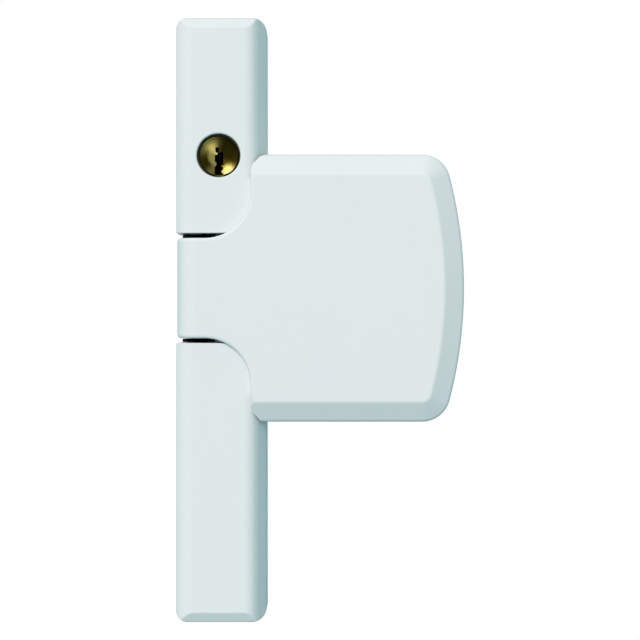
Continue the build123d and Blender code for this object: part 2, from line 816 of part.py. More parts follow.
with BuildPart() as leaf_cover:
    add(flap_outside)
    # The front outline, with the sweeping fillets between flap and tongue
    with BuildSketch(front_plane(leaf_back)):
        draw_flap(0, leaf_left)
        fillet(vertices().group_by(Axis.X)[0], leaf_left_corner)
        with Locations((tongue_left, slot_centre)):
            Rectangle(
                leaf_left + leaf_wall - tongue_left,
                tongue_height,
                align=(Align.MIN, Align.CENTER),
            )
        roots = vertices().filter_by(
            lambda v: abs(v.X - leaf_left) < 0.01 and abs(v.Y - slot_centre) < tongue_height
        )
        fillet(roots, tongue_fillet)
    extrude(amount=leaf_front - leaf_back, mode=Mode.INTERSECT)
    # The tongue's left side is rounded as the bar's is
    with BuildSketch(Plane.XY.offset(slot_centre)):
        with Locations((tongue_left, -leaf_back)):
            Rectangle(
                leaf_right - tongue_left,
                leaf_front - leaf_back,
                align=(Align.MIN, Align.MAX),
            )
        front_left = vertices().group_by(Axis.Y)[0].sort_by(Axis.X)[0]
        fillet(front_left, tongue_left_round)
    extrude(amount=leaf_height, both=True, mode=Mode.INTERSECT)
    # The edge is soft all round the outline, where the front and the tongue's side meet the walls
    skin = faces().filter_by(
        lambda f: f.normal_at().Y < -0.1 or f.center().X < tongue_left + 0.01
    )
    outline = [e for e in edges() if sum(e in f.edges() for f in skin) == 1]
    fillet([e for e in outline if e.center().Y < -leaf_back - 0.01], leaf_edge_round)
    add(relief, mode=Mode.SUBTRACT)
    add(leaf_hollow.part, mode=Mode.SUBTRACT)
    # The tongue's ends are open to the back round the steel
    with BuildSketch(front_plane(leaf_back)):
        with Locations((inner_left, slot_centre)):
            Rectangle(
                bolt_x + lock_bar_width / 2 + leaf_rim_gap - inner_left,
                tongue_height,
                align=(Align.MIN, Align.CENTER),
            )
    extrude(
        amount=hinge_depth + barrel_radius + leaf_rim_gap - leaf_back, mode=Mode.SUBTRACT
    )
    # Screw bosses from the plate to the front wall
    with BuildSketch(front_plane(leaf_plate_front)):
        with Locations(*boss_spots):
            Circle(boss_radius)
    extrude(amount=leaf_front - leaf_wall - leaf_plate_front)
    with BuildSketch(front_plane(leaf_plate_front)):
        with Locations(*boss_spots):
            Circle(screw_radius + screw_gap)
    extrude(amount=cover_screw_length - leaf_plate_thickness + screw_gap, mode=Mode.SUBTRACT)
leaf_cover.part.label = "leaf_cover"

# Leaf plate: steel plate, barrel and lock bar in one, with the socket for the bolt
relief_radius = hypot(
    bar_width / 2 - bar_right_round - hinge_x, bar_depth - bar_right_round - hinge_depth
)
plate_left = hinge_x + relief_radius + bar_right_round + leaf_swing_gap + leaf_wall + leaf_rim_gap
with BuildPart() as leaf_plate:
    with BuildSketch(front_plane(leaf_back)):
        draw_flap(leaf_wall + leaf_rim_gap, plate_left)
        with Locations((bolt_x, slot_centre)):
            Rectangle(
                plate_left + leaf_wall - bolt_x,
                tongue_height - 2 * (tongue_end_wall + leaf_rim_gap),
                align=(Align.MIN, Align.CENTER),
            )
    extrude(amount=leaf_plate_thickness)
    with BuildSketch(Plane.XY.offset(tongue_bottom)):
        with Locations(hinge_spot):
            Circle(barrel_radius)
        with Locations((bolt_x + lock_bar_width / 2, -hinge_depth)):
            Rectangle(
                bolt_x + lock_bar_width / 2 - hinge_x,
                lock_bar_depth,
                align=(Align.MAX, Align.CENTER),
            )
    extrude(amount=tongue_height)
    with BuildSketch(Plane.XY.offset(tongue_bottom)):
        with Locations(hinge_spot):
            Circle(bush_outer)
    extrude(amount=tongue_height, mode=Mode.SUBTRACT)
    with BuildSketch(Plane.XY.offset(tongue_top)):
        with Locations((bolt_x, -hinge_depth)):
            Circle(bolt_radius + socket_gap)
    extrude(amount=-socket_depth, mode=Mode.SUBTRACT)
    with Locations(rear_face.offset(-leaf_back)):
        with Locations(*[(-x, z) for x, z in boss_spots]):
            CounterSinkHole(
                screw_radius + screw_gap,
                screw_head_radius + screw_gap,
                counter_sink_angle=90,
            )
    pad_spots = [(pad_x, slot_centre + side * pad_spacing_z / 2) for side in (-1, 1)]
    with BuildSketch(front_plane(leaf_back)):
        with Locations(*pad_spots):
            Circle(pad_radius + screw_gap)
    extrude(amount=pad_sink, mode=Mode.SUBTRACT)
leaf_plate.part.label = "leaf_plate"

# Screws that hold the leaf's cover to its plate
leaf_screws = countersunk_screws(
    [(-x, z) for x, z in boss_spots],
    rear_face.offset(-leaf_back),
    cover_screw_length,
    screw_radius,
    screw_head_radius,
)
leaf_screws.label = "leaf_screws"

# Rubber pads that press on the sash
with BuildPart() as pressure_pads:
    with BuildSketch(front_plane(leaf_back + pad_sink)):
        with Locations(*pad_spots):
            Circle(pad_radius)
    extrude(amount=-pad_height)
    chamfer(edges().filter_by(GeomType.CIRCLE).group_by(Axis.Y)[-1], pad_chamfer)
pressure_pads.part.label = "pressure_pads"

pieces = [
    base_plate.part,
    upper_cover.part,
    lower_cover.part,
    lock_case.part,
    lower_bearing.part,
    case_screws,
    grub_screw.part,
    set_screw.part,
    cylinder_housing.part,
    chamber_cap.part,
    driver_pins.part,
    pin_springs.part,
    cylinder_plug.part,
    key_pins.part,
    cam.part,
    cam_clip.part,
    locking_bolt.part,
    hinge_pin.part,
    hinge_washers.part,
    hinge_bushes.part,
    leaf_cover.part,
    leaf_plate.part,
    leaf_screws,
    pressure_pads.part,
]
os.makedirs("parts", exist_ok=True)
for piece in pieces:
    export_step(piece, f"parts/{piece.label}.step")
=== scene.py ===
# %% [markdown]
# # A window lock, dressed in Blender
# The lock is a tall bar that is screwed to a window frame, and a wide leaf that swings on it.
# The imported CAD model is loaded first. It fixes every place and size, so this lesson adds only
# what the eye needs: the soft edges of moulded plastic, the turned brass and the finishes.

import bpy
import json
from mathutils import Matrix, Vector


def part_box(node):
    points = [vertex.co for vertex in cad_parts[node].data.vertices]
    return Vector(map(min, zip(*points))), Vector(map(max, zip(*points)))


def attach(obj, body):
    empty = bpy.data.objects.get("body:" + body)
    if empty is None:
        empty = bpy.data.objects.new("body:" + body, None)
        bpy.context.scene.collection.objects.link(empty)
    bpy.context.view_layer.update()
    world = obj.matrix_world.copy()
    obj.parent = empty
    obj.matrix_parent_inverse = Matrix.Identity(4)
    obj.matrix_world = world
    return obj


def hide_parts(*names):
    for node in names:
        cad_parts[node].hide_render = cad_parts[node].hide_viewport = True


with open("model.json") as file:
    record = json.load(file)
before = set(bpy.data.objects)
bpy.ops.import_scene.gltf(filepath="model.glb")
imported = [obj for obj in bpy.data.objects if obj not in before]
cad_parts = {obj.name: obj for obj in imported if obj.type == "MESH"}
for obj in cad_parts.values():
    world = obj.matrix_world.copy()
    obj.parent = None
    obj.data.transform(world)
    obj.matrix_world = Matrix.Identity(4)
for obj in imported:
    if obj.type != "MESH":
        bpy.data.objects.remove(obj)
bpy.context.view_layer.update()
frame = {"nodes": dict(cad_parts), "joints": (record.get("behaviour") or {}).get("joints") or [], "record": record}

# %% [markdown]
# ## Working in millimetres
# The scene is in metres, but a mould maker thinks in millimetres, and Blender's edit tools are
# steadier on numbers near one. So each piece is drawn a thousand times too large, in the right
# place, and shrunk towards the world's origin when it is finished. X runs to the right, Z up and
# -Y out of the front, so a surface 31 mm in front of the window frame has y = -31.

# %% Units and the directions of a piece's sides
import json
from math import acos, cos, hypot, pi, radians, sin

import bmesh
import bpy
from mathutils import Vector

MM = 0.001
LEFT, RIGHT = Vector((-1, 0, 0)), Vector((1, 0, 0))
FRONT, REAR = Vector((0, -1, 0)), Vector((0, 1, 0))
TOP, BOTTOM = Vector((0, 0, 1)), Vector((0, 0, -1))


def corners_of(node):
    """The lowest and the highest corner of a CAD node, in millimetres."""
    low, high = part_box(node)
    return low / MM, high / MM


leaf_low, leaf_high = corners_of("leaf_cover")
print("leaf cover, mm:", [round(v, 2) for v in (*leaf_low, *leaf_high)])

# %% [markdown]
# ## Hand tools
# A piece is drawn as by hand: a point is extruded into lines and spun into arcs, the outline is
# filled, and the face is extruded into a solid. Nothing may be left selected before that, because
# an operator acts on all that is selected. Spin turns clockwise about its axis, so the arc tool
# changes the sign and a positive turn is counter-clockwise, as on paper.

# %% Draw with a point: lines, arcs, a filled outline and a solid
TURNED_STEPS = 96


def deselect():
    """Back to object mode with nothing selected."""
    if bpy.context.mode != "OBJECT":
        bpy.ops.object.mode_set(mode="OBJECT")
    bpy.ops.object.select_all(action="DESELECT")


def activate(piece):
    """Make one piece the only selected and the active one."""
    deselect()
    piece.select_set(True)
    bpy.context.view_layer.objects.active = piece


def start_drawing(name, point):
    """A new piece in edit mode, which so far is one point."""
    deselect()
    bpy.ops.mesh.primitive_plane_add(size=1)
    bpy.context.object.name = name
    bpy.ops.object.mode_set(mode="EDIT")
    bpy.ops.mesh.select_mode(type="VERT")
    bpy.ops.mesh.merge(type="CENTER")
    bpy.ops.transform.translate(value=point)
    return bpy.context.object


def last_point():
    """The place of the drawing's last point, which is the one that is selected."""
    mesh = bmesh.from_edit_mesh(bpy.context.object.data)
    return next(v.co.copy() for v in mesh.verts if v.select)


def line_to(point):
    """Extrude the last point of the drawing to a new place."""
    step = Vector(point) - last_point()
    bpy.ops.mesh.extrude_region_move(TRANSFORM_OT_translate={"value": step})


def arc_about(centre, turn, axis, steps):
    """Spin the last point of the drawing about a centre, by a turn in degrees."""
    bpy.ops.mesh.spin(steps=steps, angle=-radians(turn), center=centre, axis=axis)


def close_outline():
    """Join the drawing's two ends and fill it with one face."""
    bpy.ops.mesh.select_all(action="SELECT")
    bpy.ops.mesh.remove_doubles(threshold=0.0005)
    bpy.ops.mesh.edge_face_add()


def thicken(offset):
    """Extrude the selected face into a solid whose faces point outwards."""
    bpy.ops.mesh.extrude_region_move(TRANSFORM_OT_translate={"value": offset})
    bpy.ops.mesh.select_all(action="SELECT")
    bpy.ops.mesh.normals_make_consistent(inside=False)


def turned(centre):
    """Spin a half outline once about the Y axis through a centre into a closed solid."""
    bpy.ops.mesh.select_all(action="SELECT")
    bpy.ops.mesh.spin(steps=TURNED_STEPS, angle=2 * pi, center=centre, axis=REAR)
    bpy.ops.mesh.select_all(action="SELECT")
    bpy.ops.mesh.remove_doubles(threshold=0.0005)
    bpy.ops.mesh.normals_make_consistent(inside=False)


# %% [markdown]
# ## Cuts and rounds
# A moulded box has no sharp edge. A convex edge is rounded here as a carver does it: by a row of
# flat cuts, each tangent to the wanted round. A bisect with its fill does one cut, and the row
# keeps the round exact where other rounds cross it, which a bevel of crossing edges can't do.

# %% Boxes, cuts, rounds and booleans
def add_box(name, low, high):
    """A box between two corners, in edit mode and selected."""
    deselect()
    bpy.ops.mesh.primitive_cube_add(size=1)
    bpy.context.object.name = name
    bpy.ops.object.mode_set(mode="EDIT")
    low, high = Vector(low), Vector(high)
    bpy.ops.transform.resize(value=high - low)
    bpy.ops.transform.translate(value=(low + high) / 2)
    return bpy.context.object


def cut(normal, distance):
    """Cut off what lies beyond a plane, given by its normal and its distance from the origin."""
    bpy.ops.mesh.select_all(action="SELECT")
    bpy.ops.mesh.bisect(
        plane_co=normal * distance,
        plane_no=normal,
        use_fill=True,
        clear_outer=True,
        threshold=0.00005,
    )


def round_edge(first, second, radius, steps):
    """Round the edge between two planes, each (normal, distance), by tangent cuts."""
    (n1, d1), (n2, d2) = first, second
    g = n1.dot(n2)
    a = ((d1 - radius) - g * (d2 - radius)) / (1 - g * g)
    b = ((d2 - radius) - g * (d1 - radius)) / (1 - g * g)
    centre = a * n1 + b * n2
    angle = acos(g)
    planes = []
    for step in range(1, steps):
        part = step / steps
        normal = (sin((1 - part) * angle) * n1 + sin(part * angle) * n2) / sin(angle)
        planes.append((normal, normal.dot(centre) + radius))
        cut(*planes[-1])
    return planes


def combine(piece, tool, operation):
    """Join, cut or intersect a piece with a tool, which is used up."""
    activate(piece)
    bpy.ops.object.modifier_add(type="BOOLEAN")
    modifier = piece.modifiers[-1]
    modifier.operation = operation
    modifier.object = tool
    modifier.solver = "EXACT"
    bpy.ops.object.modifier_apply(modifier=modifier.name)
    bpy.data.objects.remove(tool)


def pick(kind, wanted):
    """Select the edges or faces that a test says yes to, and return their number."""
    bpy.ops.mesh.select_mode(type=kind)
    bpy.ops.mesh.select_all(action="DESELECT")
    mesh = bmesh.from_edit_mesh(bpy.context.object.data)
    mesh.normal_update()
    parts = mesh.faces if kind == "FACE" else [e for e in mesh.edges if len(e.link_faces) == 2]
    chosen = [part for part in parts if wanted(part)]
    for part in chosen:
        part.select_set(True)
    bmesh.update_edit_mesh(bpy.context.object.data)
    return len(chosen)


def measure(piece):
    """Print a piece's volume in cubic centimetres, its faces and its edges that are open."""
    deselect()
    mesh = bmesh.new()
    mesh.from_mesh(piece.data)
    open_edges = sum(not e.is_manifold for e in mesh.edges)
    found = (round(mesh.calc_volume(signed=True) / 1000, 3), len(mesh.faces), open_edges)
    mesh.free()
    print(piece.name, "cm3, faces, open edges:", *found)


# %% [markdown]
# ## The last step of every piece
# A finished piece is shrunk to metres about the world's origin, so its object sits at the origin,
# unturned and unscaled, as a CAD node's does. Then it is shaded smooth except at real edges, and
# Weighted Normal keeps the broad flat faces flat beside their small rounds.

# %% Finish a piece and give it its body, slot and node
SHARP_FROM = radians(32)


def finish_piece(piece, body, slot, node):
    """Shrink to metres, shade, and say what the piece rides on and stands for."""
    measure(piece)
    activate(piece)
    bpy.ops.transform.resize(value=(MM, MM, MM), center_override=(0, 0, 0))
    bpy.ops.object.transform_apply(location=True, rotation=True, scale=True)
    bpy.ops.object.shade_smooth_by_angle(angle=SHARP_FROM)
    bpy.ops.object.modifier_add(type="WEIGHTED_NORMAL")
    piece.modifiers[-1].keep_sharp = True
    bpy.ops.object.modifier_apply(modifier=piece.modifiers[-1].name)
    piece.data.materials.clear()
    piece.data.materials.append(finishes[slot])
    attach(piece, body)
    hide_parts(node)


# %% [markdown]
# ## Finishes
# Each finish is named for its real material and how it was made. Colours are written as the eye
# reads them, in sRGB hex, and one function turns them into the linear numbers a shader needs.
# Patterns use Object coordinates, which are metres on the piece, so a grain of 0.4 mm has a
# scale of one over 0.0004.

# %% Colour and node helpers
def linear(hex_code):
    """An sRGB hex colour as linear red, green, blue and alpha."""
    parts = [int(hex_code[i:i + 2], 16) / 255 for i in (1, 3, 5)]
    return tuple(p / 12.92 if p <= 0.04045 else ((p + 0.055) / 1.055) ** 2.4 for p in parts) + (1,)


def add_node(tree, kind, sockets=(), **settings):
    """Add a node with its settings; a socket takes a value or another node's output."""
    node = tree.nodes.new(kind)
    for name, value in settings.items():
        setattr(node, name, value)
    for name, value in dict(sockets).items():
        if isinstance(value, bpy.types.NodeSocket):
            tree.links.new(value, node.inputs[name])
        else:
            node.inputs[name].default_value = value
    return node


def start_finish(name):
    """A new material: its node tree, its shader and the piece's own coordinates."""
    material = bpy.data.materials.new(name)
    material.use_nodes = True
    tree = material.node_tree
    shader = tree.nodes["Principled BSDF"]
    place = add_node(tree, "ShaderNodeTexCoord").outputs["Object"]
    return material, tree, shader, place


def grain_of(tree, place, grain_mm, detail, **sockets):
    """A pattern from 0 to 1 whose grains have a given size."""
    return add_node(tree, "ShaderNodeTexNoise", {
        "Vector": place, "Scale": 1 / (grain_mm * MM), "Detail": detail, **sockets}).outputs["Fac"]


def shade_between(tree, place, grain_mm, dark, light, detail=4.0):
    """A colour that drifts between two hex colours in patches of a given size."""
    return add_node(tree, "ShaderNodeMix", {
        "Factor": grain_of(tree, place, grain_mm, detail), "A": linear(dark), "B": linear(light),
    }, data_type="RGBA").outputs["Result"]


def vary_gloss(tree, shader, grain, smooth, rough):
    """Let the roughness drift with a grain between two values."""
    gloss = add_node(tree, "ShaderNodeMapRange", {
        "Value": grain, "To Min": smooth, "To Max": rough})
    tree.links.new(gloss.outputs["Result"], shader.inputs["Roughness"])


def raise_grain(tree, shader, grain, strength, height_mm):
    """Let a grain stand out of the surface by a small height."""
    bump = add_node(tree, "ShaderNodeBump", {
        "Height": grain, "Strength": strength, "Distance": height_mm * MM})
    tree.links.new(bump.outputs["Normal"], shader.inputs["Normal"])


finishes = {}

# %% [markdown]
# ### Moulded white plastic
# The covers are injection-moulded ABS in a cool white. The mould is lightly spark-eroded, which
# leaves a satin skin with a grain of a few tenths of a millimetre. The colour is nearly even, so
# the patches differ by one or two steps only.

# %% White plastic
material, tree, shader, place = start_finish("moulded_white_abs")
base = shade_between(tree, place, 30, "#D9E4E6", "#DDE7E8")
grain = grain_of(tree, place, 0.45, 3.0)
tree.links.new(base, shader.inputs["Base Color"])
vary_gloss(tree, shader, grain, 0.44, 0.54)
raise_grain(tree, shader, grain, 0.12, 0.02)
shader.inputs["IOR"].default_value = 1.5
shader.inputs["Specular IOR Level"].default_value = 0.05
finishes["white_plastic"] = material
print("finish:", material.name)

# %% [markdown]
# ### Metals
# Zinc-plated steel is pale and slightly blue, with soft cloudy patches from the plating bath.
# Ground steel has fine lines along the part. Sintered bronze is a pressed powder, so it is
# speckled and dull with oil. The casting has a thin black coat over a grainy skin.

# %% Zinc-plated steel, ground steel, sintered bronze and the black coat
material, tree, shader, place = start_finish("zinc_plated_pressed_steel")
base = shade_between(tree, place, 6, "#B9BDC2", "#CDD0D2")
tree.links.new(base, shader.inputs["Base Color"])
vary_gloss(tree, shader, grain_of(tree, place, 4, 6.0, Roughness=0.65), 0.26, 0.46)
shader.inputs["Metallic"].default_value = 1.0
finishes["zinc_plated_steel"] = material

material, tree, shader, place = start_finish("hardened_ground_steel")
base = shade_between(tree, place, 3, "#A5A6A8", "#BBBCBD")
stretch = add_node(tree, "ShaderNodeMapping", {"Vector": place, "Scale": (1, 1, 0.05)})
lines = grain_of(tree, stretch.outputs["Vector"], 0.25, 3.0)
tree.links.new(base, shader.inputs["Base Color"])
vary_gloss(tree, shader, lines, 0.2, 0.38)
raise_grain(tree, shader, lines, 0.2, 0.02)
shader.inputs["Metallic"].default_value = 1.0
finishes["hardened_steel"] = material

material, tree, shader, place = start_finish("sintered_oiled_bronze")
base = shade_between(tree, place, 0.35, "#7A5A36", "#A98553")
tree.links.new(base, shader.inputs["Base Color"])
shader.inputs["Metallic"].default_value = 1.0
shader.inputs["Roughness"].default_value = 0.48
finishes["sintered_bronze"] = material

material, tree, shader, place = start_finish("black_coated_zinc_casting")
base = shade_between(tree, place, 5, "#141516", "#1D1E1F")
tree.links.new(base, shader.inputs["Base Color"])
raise_grain(tree, shader, grain_of(tree, place, 0.5, 5.0), 0.35, 0.05)
shader.inputs["Roughness"].default_value = 0.5
finishes["black_casting"] = material
print("finishes so far:", sorted(finishes))

# %% [markdown]
# ### Brass in two finishes
# Inside the lock the brass of the cylinder is plainly machined and has gone dull, and its colour
# is darkened further as painted shade for the deep gap round the plug where it shows. The plug's
# face is turned, and the tool leaves fine rings. Rings stretch a highlight across them, which the
# shader does with its anisotropy, along a tangent that points away from the cylinder's axis. The
# face has aged to a dark tarnish, which is darkened further as a painted dark reflection. Painted
# highlights of lighter brass lie where the lamp's highlight falls, and black painted shade fills
# the keyway and the gap round the rim.

# %% Machined brass
joint_places = {joint["name"]: joint.get("pos_m") for joint in frame["joints"]}
key_x, _, key_z = (value / MM for value in joint_places["plug_turn"])
print("cylinder axis, mm:", round(key_x, 2), round(key_z, 2))

material, tree, shader, place = start_finish("machined_brass_painted_dark")
# Dull brass, darkened further as painted shade for the deep gap round the plug where the housing shows
base = shade_between(tree, place, 2.5, "#4E4A20", "#5E5828")
tree.links.new(base, shader.inputs["Base Color"])
vary_gloss(tree, shader, grain_of(tree, place, 1.5, 5.0), 0.25, 0.45)
shader.inputs["Metallic"].default_value = 1.0
finishes["cylinder_brass"] = material
print("finish:", material.name)

# %% Turned face of the plug
material, tree, shader, place = start_finish("turned_aged_brass")
centred = add_node(tree, "ShaderNodeVectorMath", {
    0: place, 1: (key_x * MM, 0, key_z * MM)}, operation="SUBTRACT")
flat = add_node(tree, "ShaderNodeVectorMath", {
    0: centred.outputs["Vector"], 1: (1, 0, 1)}, operation="MULTIPLY")
outwards = add_node(tree, "ShaderNodeVectorTransform", {
    "Vector": flat.outputs["Vector"]}, convert_from="OBJECT", convert_to="WORLD")
radius = add_node(tree, "ShaderNodeVectorMath", {0: flat.outputs["Vector"]}, operation="LENGTH")
across = add_node(tree, "ShaderNodeSeparateXYZ", {"Vector": centred.outputs["Vector"]})
bearing = add_node(tree, "ShaderNodeMath", {
    0: across.outputs["Z"], 1: across.outputs["X"]}, operation="ARCTAN2")


def math_node(operation, first, second=0.0):
    """One calculation in the finish that is being made."""
    return add_node(
        tree, "ShaderNodeMath", {0: first, 1: second}, operation=operation).outputs["Value"]


def ramp(value, start_mm, stop_mm):
    """A value that goes from 0 to 1 between two lengths in millimetres."""
    return add_node(tree, "ShaderNodeMapRange", {
        "Value": value, "From Min": start_mm * MM, "From Max": stop_mm * MM}).outputs["Result"]


def facing(towards, power):
    """How nearly a point lies towards a bearing in degrees, from 0 to 1; the power narrows it."""
    wave = math_node("COSINE", math_node("SUBTRACT", bearing.outputs["Value"], radians(towards)))
    return math_node("POWER", math_node("MAXIMUM", wave), power)


STAIN_GRAIN, SLOT_HALF, SHADE_RADIUS = 1.6, 1.16, 5.02
UNSHADED_LEVEL, FULL_SHADE_LEVEL = 29.3, 29.05

# Painted highlights: lighter brass laid where the lamp's highlight falls, at the upper left, a faint
# one below it, the lower right of the rim, and the left side of the keyway
painted_highlight_above = facing(130, 6.0)
painted_highlight_below = math_node("MULTIPLY", facing(-118, 30.0), 0.45)
painted_highlight_rim = math_node("MULTIPLY", ramp(radius.outputs["Value"], 2.5, 3.6), facing(-59, 14.0))
painted_highlight_slot = math_node("MULTIPLY", ramp(radius.outputs["Value"], 3.2, 2.4), facing(-155, 2.0))
painted_highlight = math_node("ADD", math_node("ADD", painted_highlight_above, painted_highlight_below), painted_highlight_rim)
painted_highlight = add_node(
    tree, "ShaderNodeMath", {0: painted_highlight, 1: painted_highlight_slot}, operation="ADD", use_clamp=True)
# Dark tarnish, partly real and partly a painted dark reflection, since the white sky would make bare brass bright
tarnish_and_dark_reflection = shade_between(tree, place, STAIN_GRAIN, "#201D05", "#2E2A0A", 5.0)
# The lighter brass that shows where the painted highlights lie
highlight_brass = shade_between(tree, place, STAIN_GRAIN, "#7C7940", "#918E50", 5.0)
brass = add_node(tree, "ShaderNodeMix", {
    "Factor": painted_highlight.outputs["Value"], "A": tarnish_and_dark_reflection, "B": highlight_brass}, data_type="RGBA")
# Painted shade: near-black laid in the keyway behind the face and on the plug's edge in the gap round the rim
in_slot = math_node("LESS_THAN", math_node("ABSOLUTE", across.outputs["X"]), SLOT_HALF * MM)
below_face = ramp(across.outputs["Y"], -UNSHADED_LEVEL, -FULL_SHADE_LEVEL)
at_edge = math_node("GREATER_THAN", radius.outputs["Value"], SHADE_RADIUS * MM)
painted_shade = math_node("MAXIMUM", math_node("MULTIPLY", in_slot, below_face), at_edge)
colour = add_node(tree, "ShaderNodeMix", {
    "Factor": painted_shade, "A": brass.outputs["Result"], "B": linear("#0E0B10"),
}, data_type="RGBA")
rings = add_node(tree, "ShaderNodeTexNoise", {
    "W": radius.outputs["Value"], "Scale": 1 / (0.3 * MM), "Detail": 3.0},
    noise_dimensions="1D")
tree.links.new(colour.outputs["Result"], shader.inputs["Base Color"])
vary_gloss(tree, shader, grain_of(tree, place, 1.5, 5.0), 0.22, 0.36)
raise_grain(tree, shader, rings.outputs["Fac"], 0.5, 0.04)
tree.links.new(outwards.outputs["Vector"], shader.inputs["Tangent"])
shader.inputs["Metallic"].default_value = 1.0
shader.inputs["Anisotropic"].default_value = 0.85
plug_brass = material
print("finish:", material.name)

# %% [markdown]
# ### Nylon and rubber
# The hinge washers are black nylon, coloured near black as painted shade for the deep gap in which
# they show, and the pads are moulded rubber. Both are dull: nylon keeps a weak gloss, and rubber
# scatters light so well that only a broad grey sheen is left.

# %% Nylon and rubber
material, tree, shader, place = start_finish("black_nylon_with_painted_shade")
# Black nylon, darker than the plastic itself: painted shade for the deep gap where the washers show
base = shade_between(tree, place, 2, "#060607", "#0A0B0B")
tree.links.new(base, shader.inputs["Base Color"])
shader.inputs["Roughness"].default_value = 0.7
shader.inputs["Specular IOR Level"].default_value = 0.08
finishes["black_nylon"] = material

material, tree, shader, place = start_finish("moulded_pad_rubber")
base = shade_between(tree, place, 1.2, "#1B1B1C", "#262628")
tree.links.new(base, shader.inputs["Base Color"])
raise_grain(tree, shader, grain_of(tree, place, 0.3, 4.0), 0.4, 0.04)
shader.inputs["Roughness"].default_value = 0.72
finishes["pad_rubber"] = material
print("all finishes:", sorted(finishes))

# %% [markdown]
# ## The bar's two covers
# The covers are one moulding in two lengths: a trough with a sloping end. From the front each
# side falls away over narrow planes with rounds between them, one on the left and two on the
# right, as the shades on the sides tell. The outside is carved from a box, then a smaller body
# with plain rounds is taken out of it. The slot between the covers is where the leaf's hinge is.
# Beside the leaf each cover has a land, a flat strip that reaches under the leaf's margin, so
# that the gap there stays thin. It runs out in an arc.

# %% Sizes of the bar
BAR_WIDTH, BAR_HEIGHT, BAR_DEPTH = 23.5, 157.0, 31.0
LEFT_ROUND, RIGHT_ROUND = 4.9, 6.5
LEFT_CORNER, RIGHT_CORNER = 2.8, 3.6
END_HEIGHT, END_DEPTH = 2.5, 1.75
SLOPE_ROUND, TIP_ROUND, RIM_ROUND = 1.1, 0.8, 0.35
# Planes between the front and a side: (turn in degrees, distance), and the rounds between them
LEFT_PLANES, LEFT_RADII = ((57.8, 25.01),), (5.85, 2.0)
RIGHT_PLANES, RIGHT_RADII = ((44.0, 27.42), (62.0, 21.85)), (3.9, 8.5, 3.0)
COVER_WALL, COVER_LIFT = 1.65, 0.3
PLATE_FRONT = 3.0
MIDDLE_Z = (leaf_low.z + leaf_high.z) / 2
upper_low, upper_high = corners_of("upper_cover")
lower_low, lower_high = corners_of("lower_cover")
print("slot, mm:", round(lower_high.z, 2), "to", round(upper_low.z, 2))


# %% Carve one bar body
def shape_side(face, side, planes, radii):
    """Cut the planes between the front face and a side, and round each edge in the row."""
    row = [face]
    for turn, distance in planes:
        turn = radians(turn)
        row.append((side[0] * sin(turn) + FRONT * cos(turn), distance))
        cut(*row[-1])
    row.append(side)
    facets = row[1:-1]
    for first, second, radius in zip(row, row[1:], radii):
        facets += round_edge(first, second, radius, 7)
    return facets


def bar_body(name, inset, low, high, rear, end):
    """The bar between two heights, smaller by an inset, with its sloping end at TOP or BOTTOM."""
    half = BAR_WIDTH / 2 - inset
    front = BAR_DEPTH - inset
    tip = BAR_HEIGHT / 2 - inset
    body = add_box(name, (-half, -front, low), (half, rear, high))
    left, right, face = (LEFT, half), (RIGHT, half), (FRONT, front)
    if inset == 0:
        facets = shape_side(face, left, LEFT_PLANES, LEFT_RADII)
        facets += shape_side(face, right, RIGHT_PLANES, RIGHT_RADII)
    else:
        cut(end, tip)
        round_edge(face, left, LEFT_ROUND - inset, 12)
        round_edge(face, right, RIGHT_ROUND - inset, 14)
    slope = hypot(END_HEIGHT, END_DEPTH)
    normal = (FRONT * END_HEIGHT + end * END_DEPTH) / slope
    distance = (front * END_HEIGHT + (tip - END_HEIGHT) * END_DEPTH) / slope
    cut(normal, distance)
    round_edge(left, (end, tip), LEFT_CORNER - inset, 8)
    round_edge(right, (end, tip), RIGHT_CORNER - inset, 8)
    if inset == 0:
        for facet in [face, *facets]:
            round_edge(facet, (normal, distance), SLOPE_ROUND, 4)
        round_edge((normal, distance), (end, tip), TIP_ROUND, 4)
    return body


LAND_LEFT, LAND_RIGHT, LAND_REAR, LAND_FRONT = 4.0, 8.0, 29.7, 31.02
LAND_START, LAND_HALF, LAND_ROUND, LAND_TURN = 0.4, 27.0, 9.5, 30
RIB_HALF, RIB_GAP = 0.6, 0.3
RIDGE, RIDGE_ROOT, RIDGE_LENGTH = 0.6, 0.3, 9.0


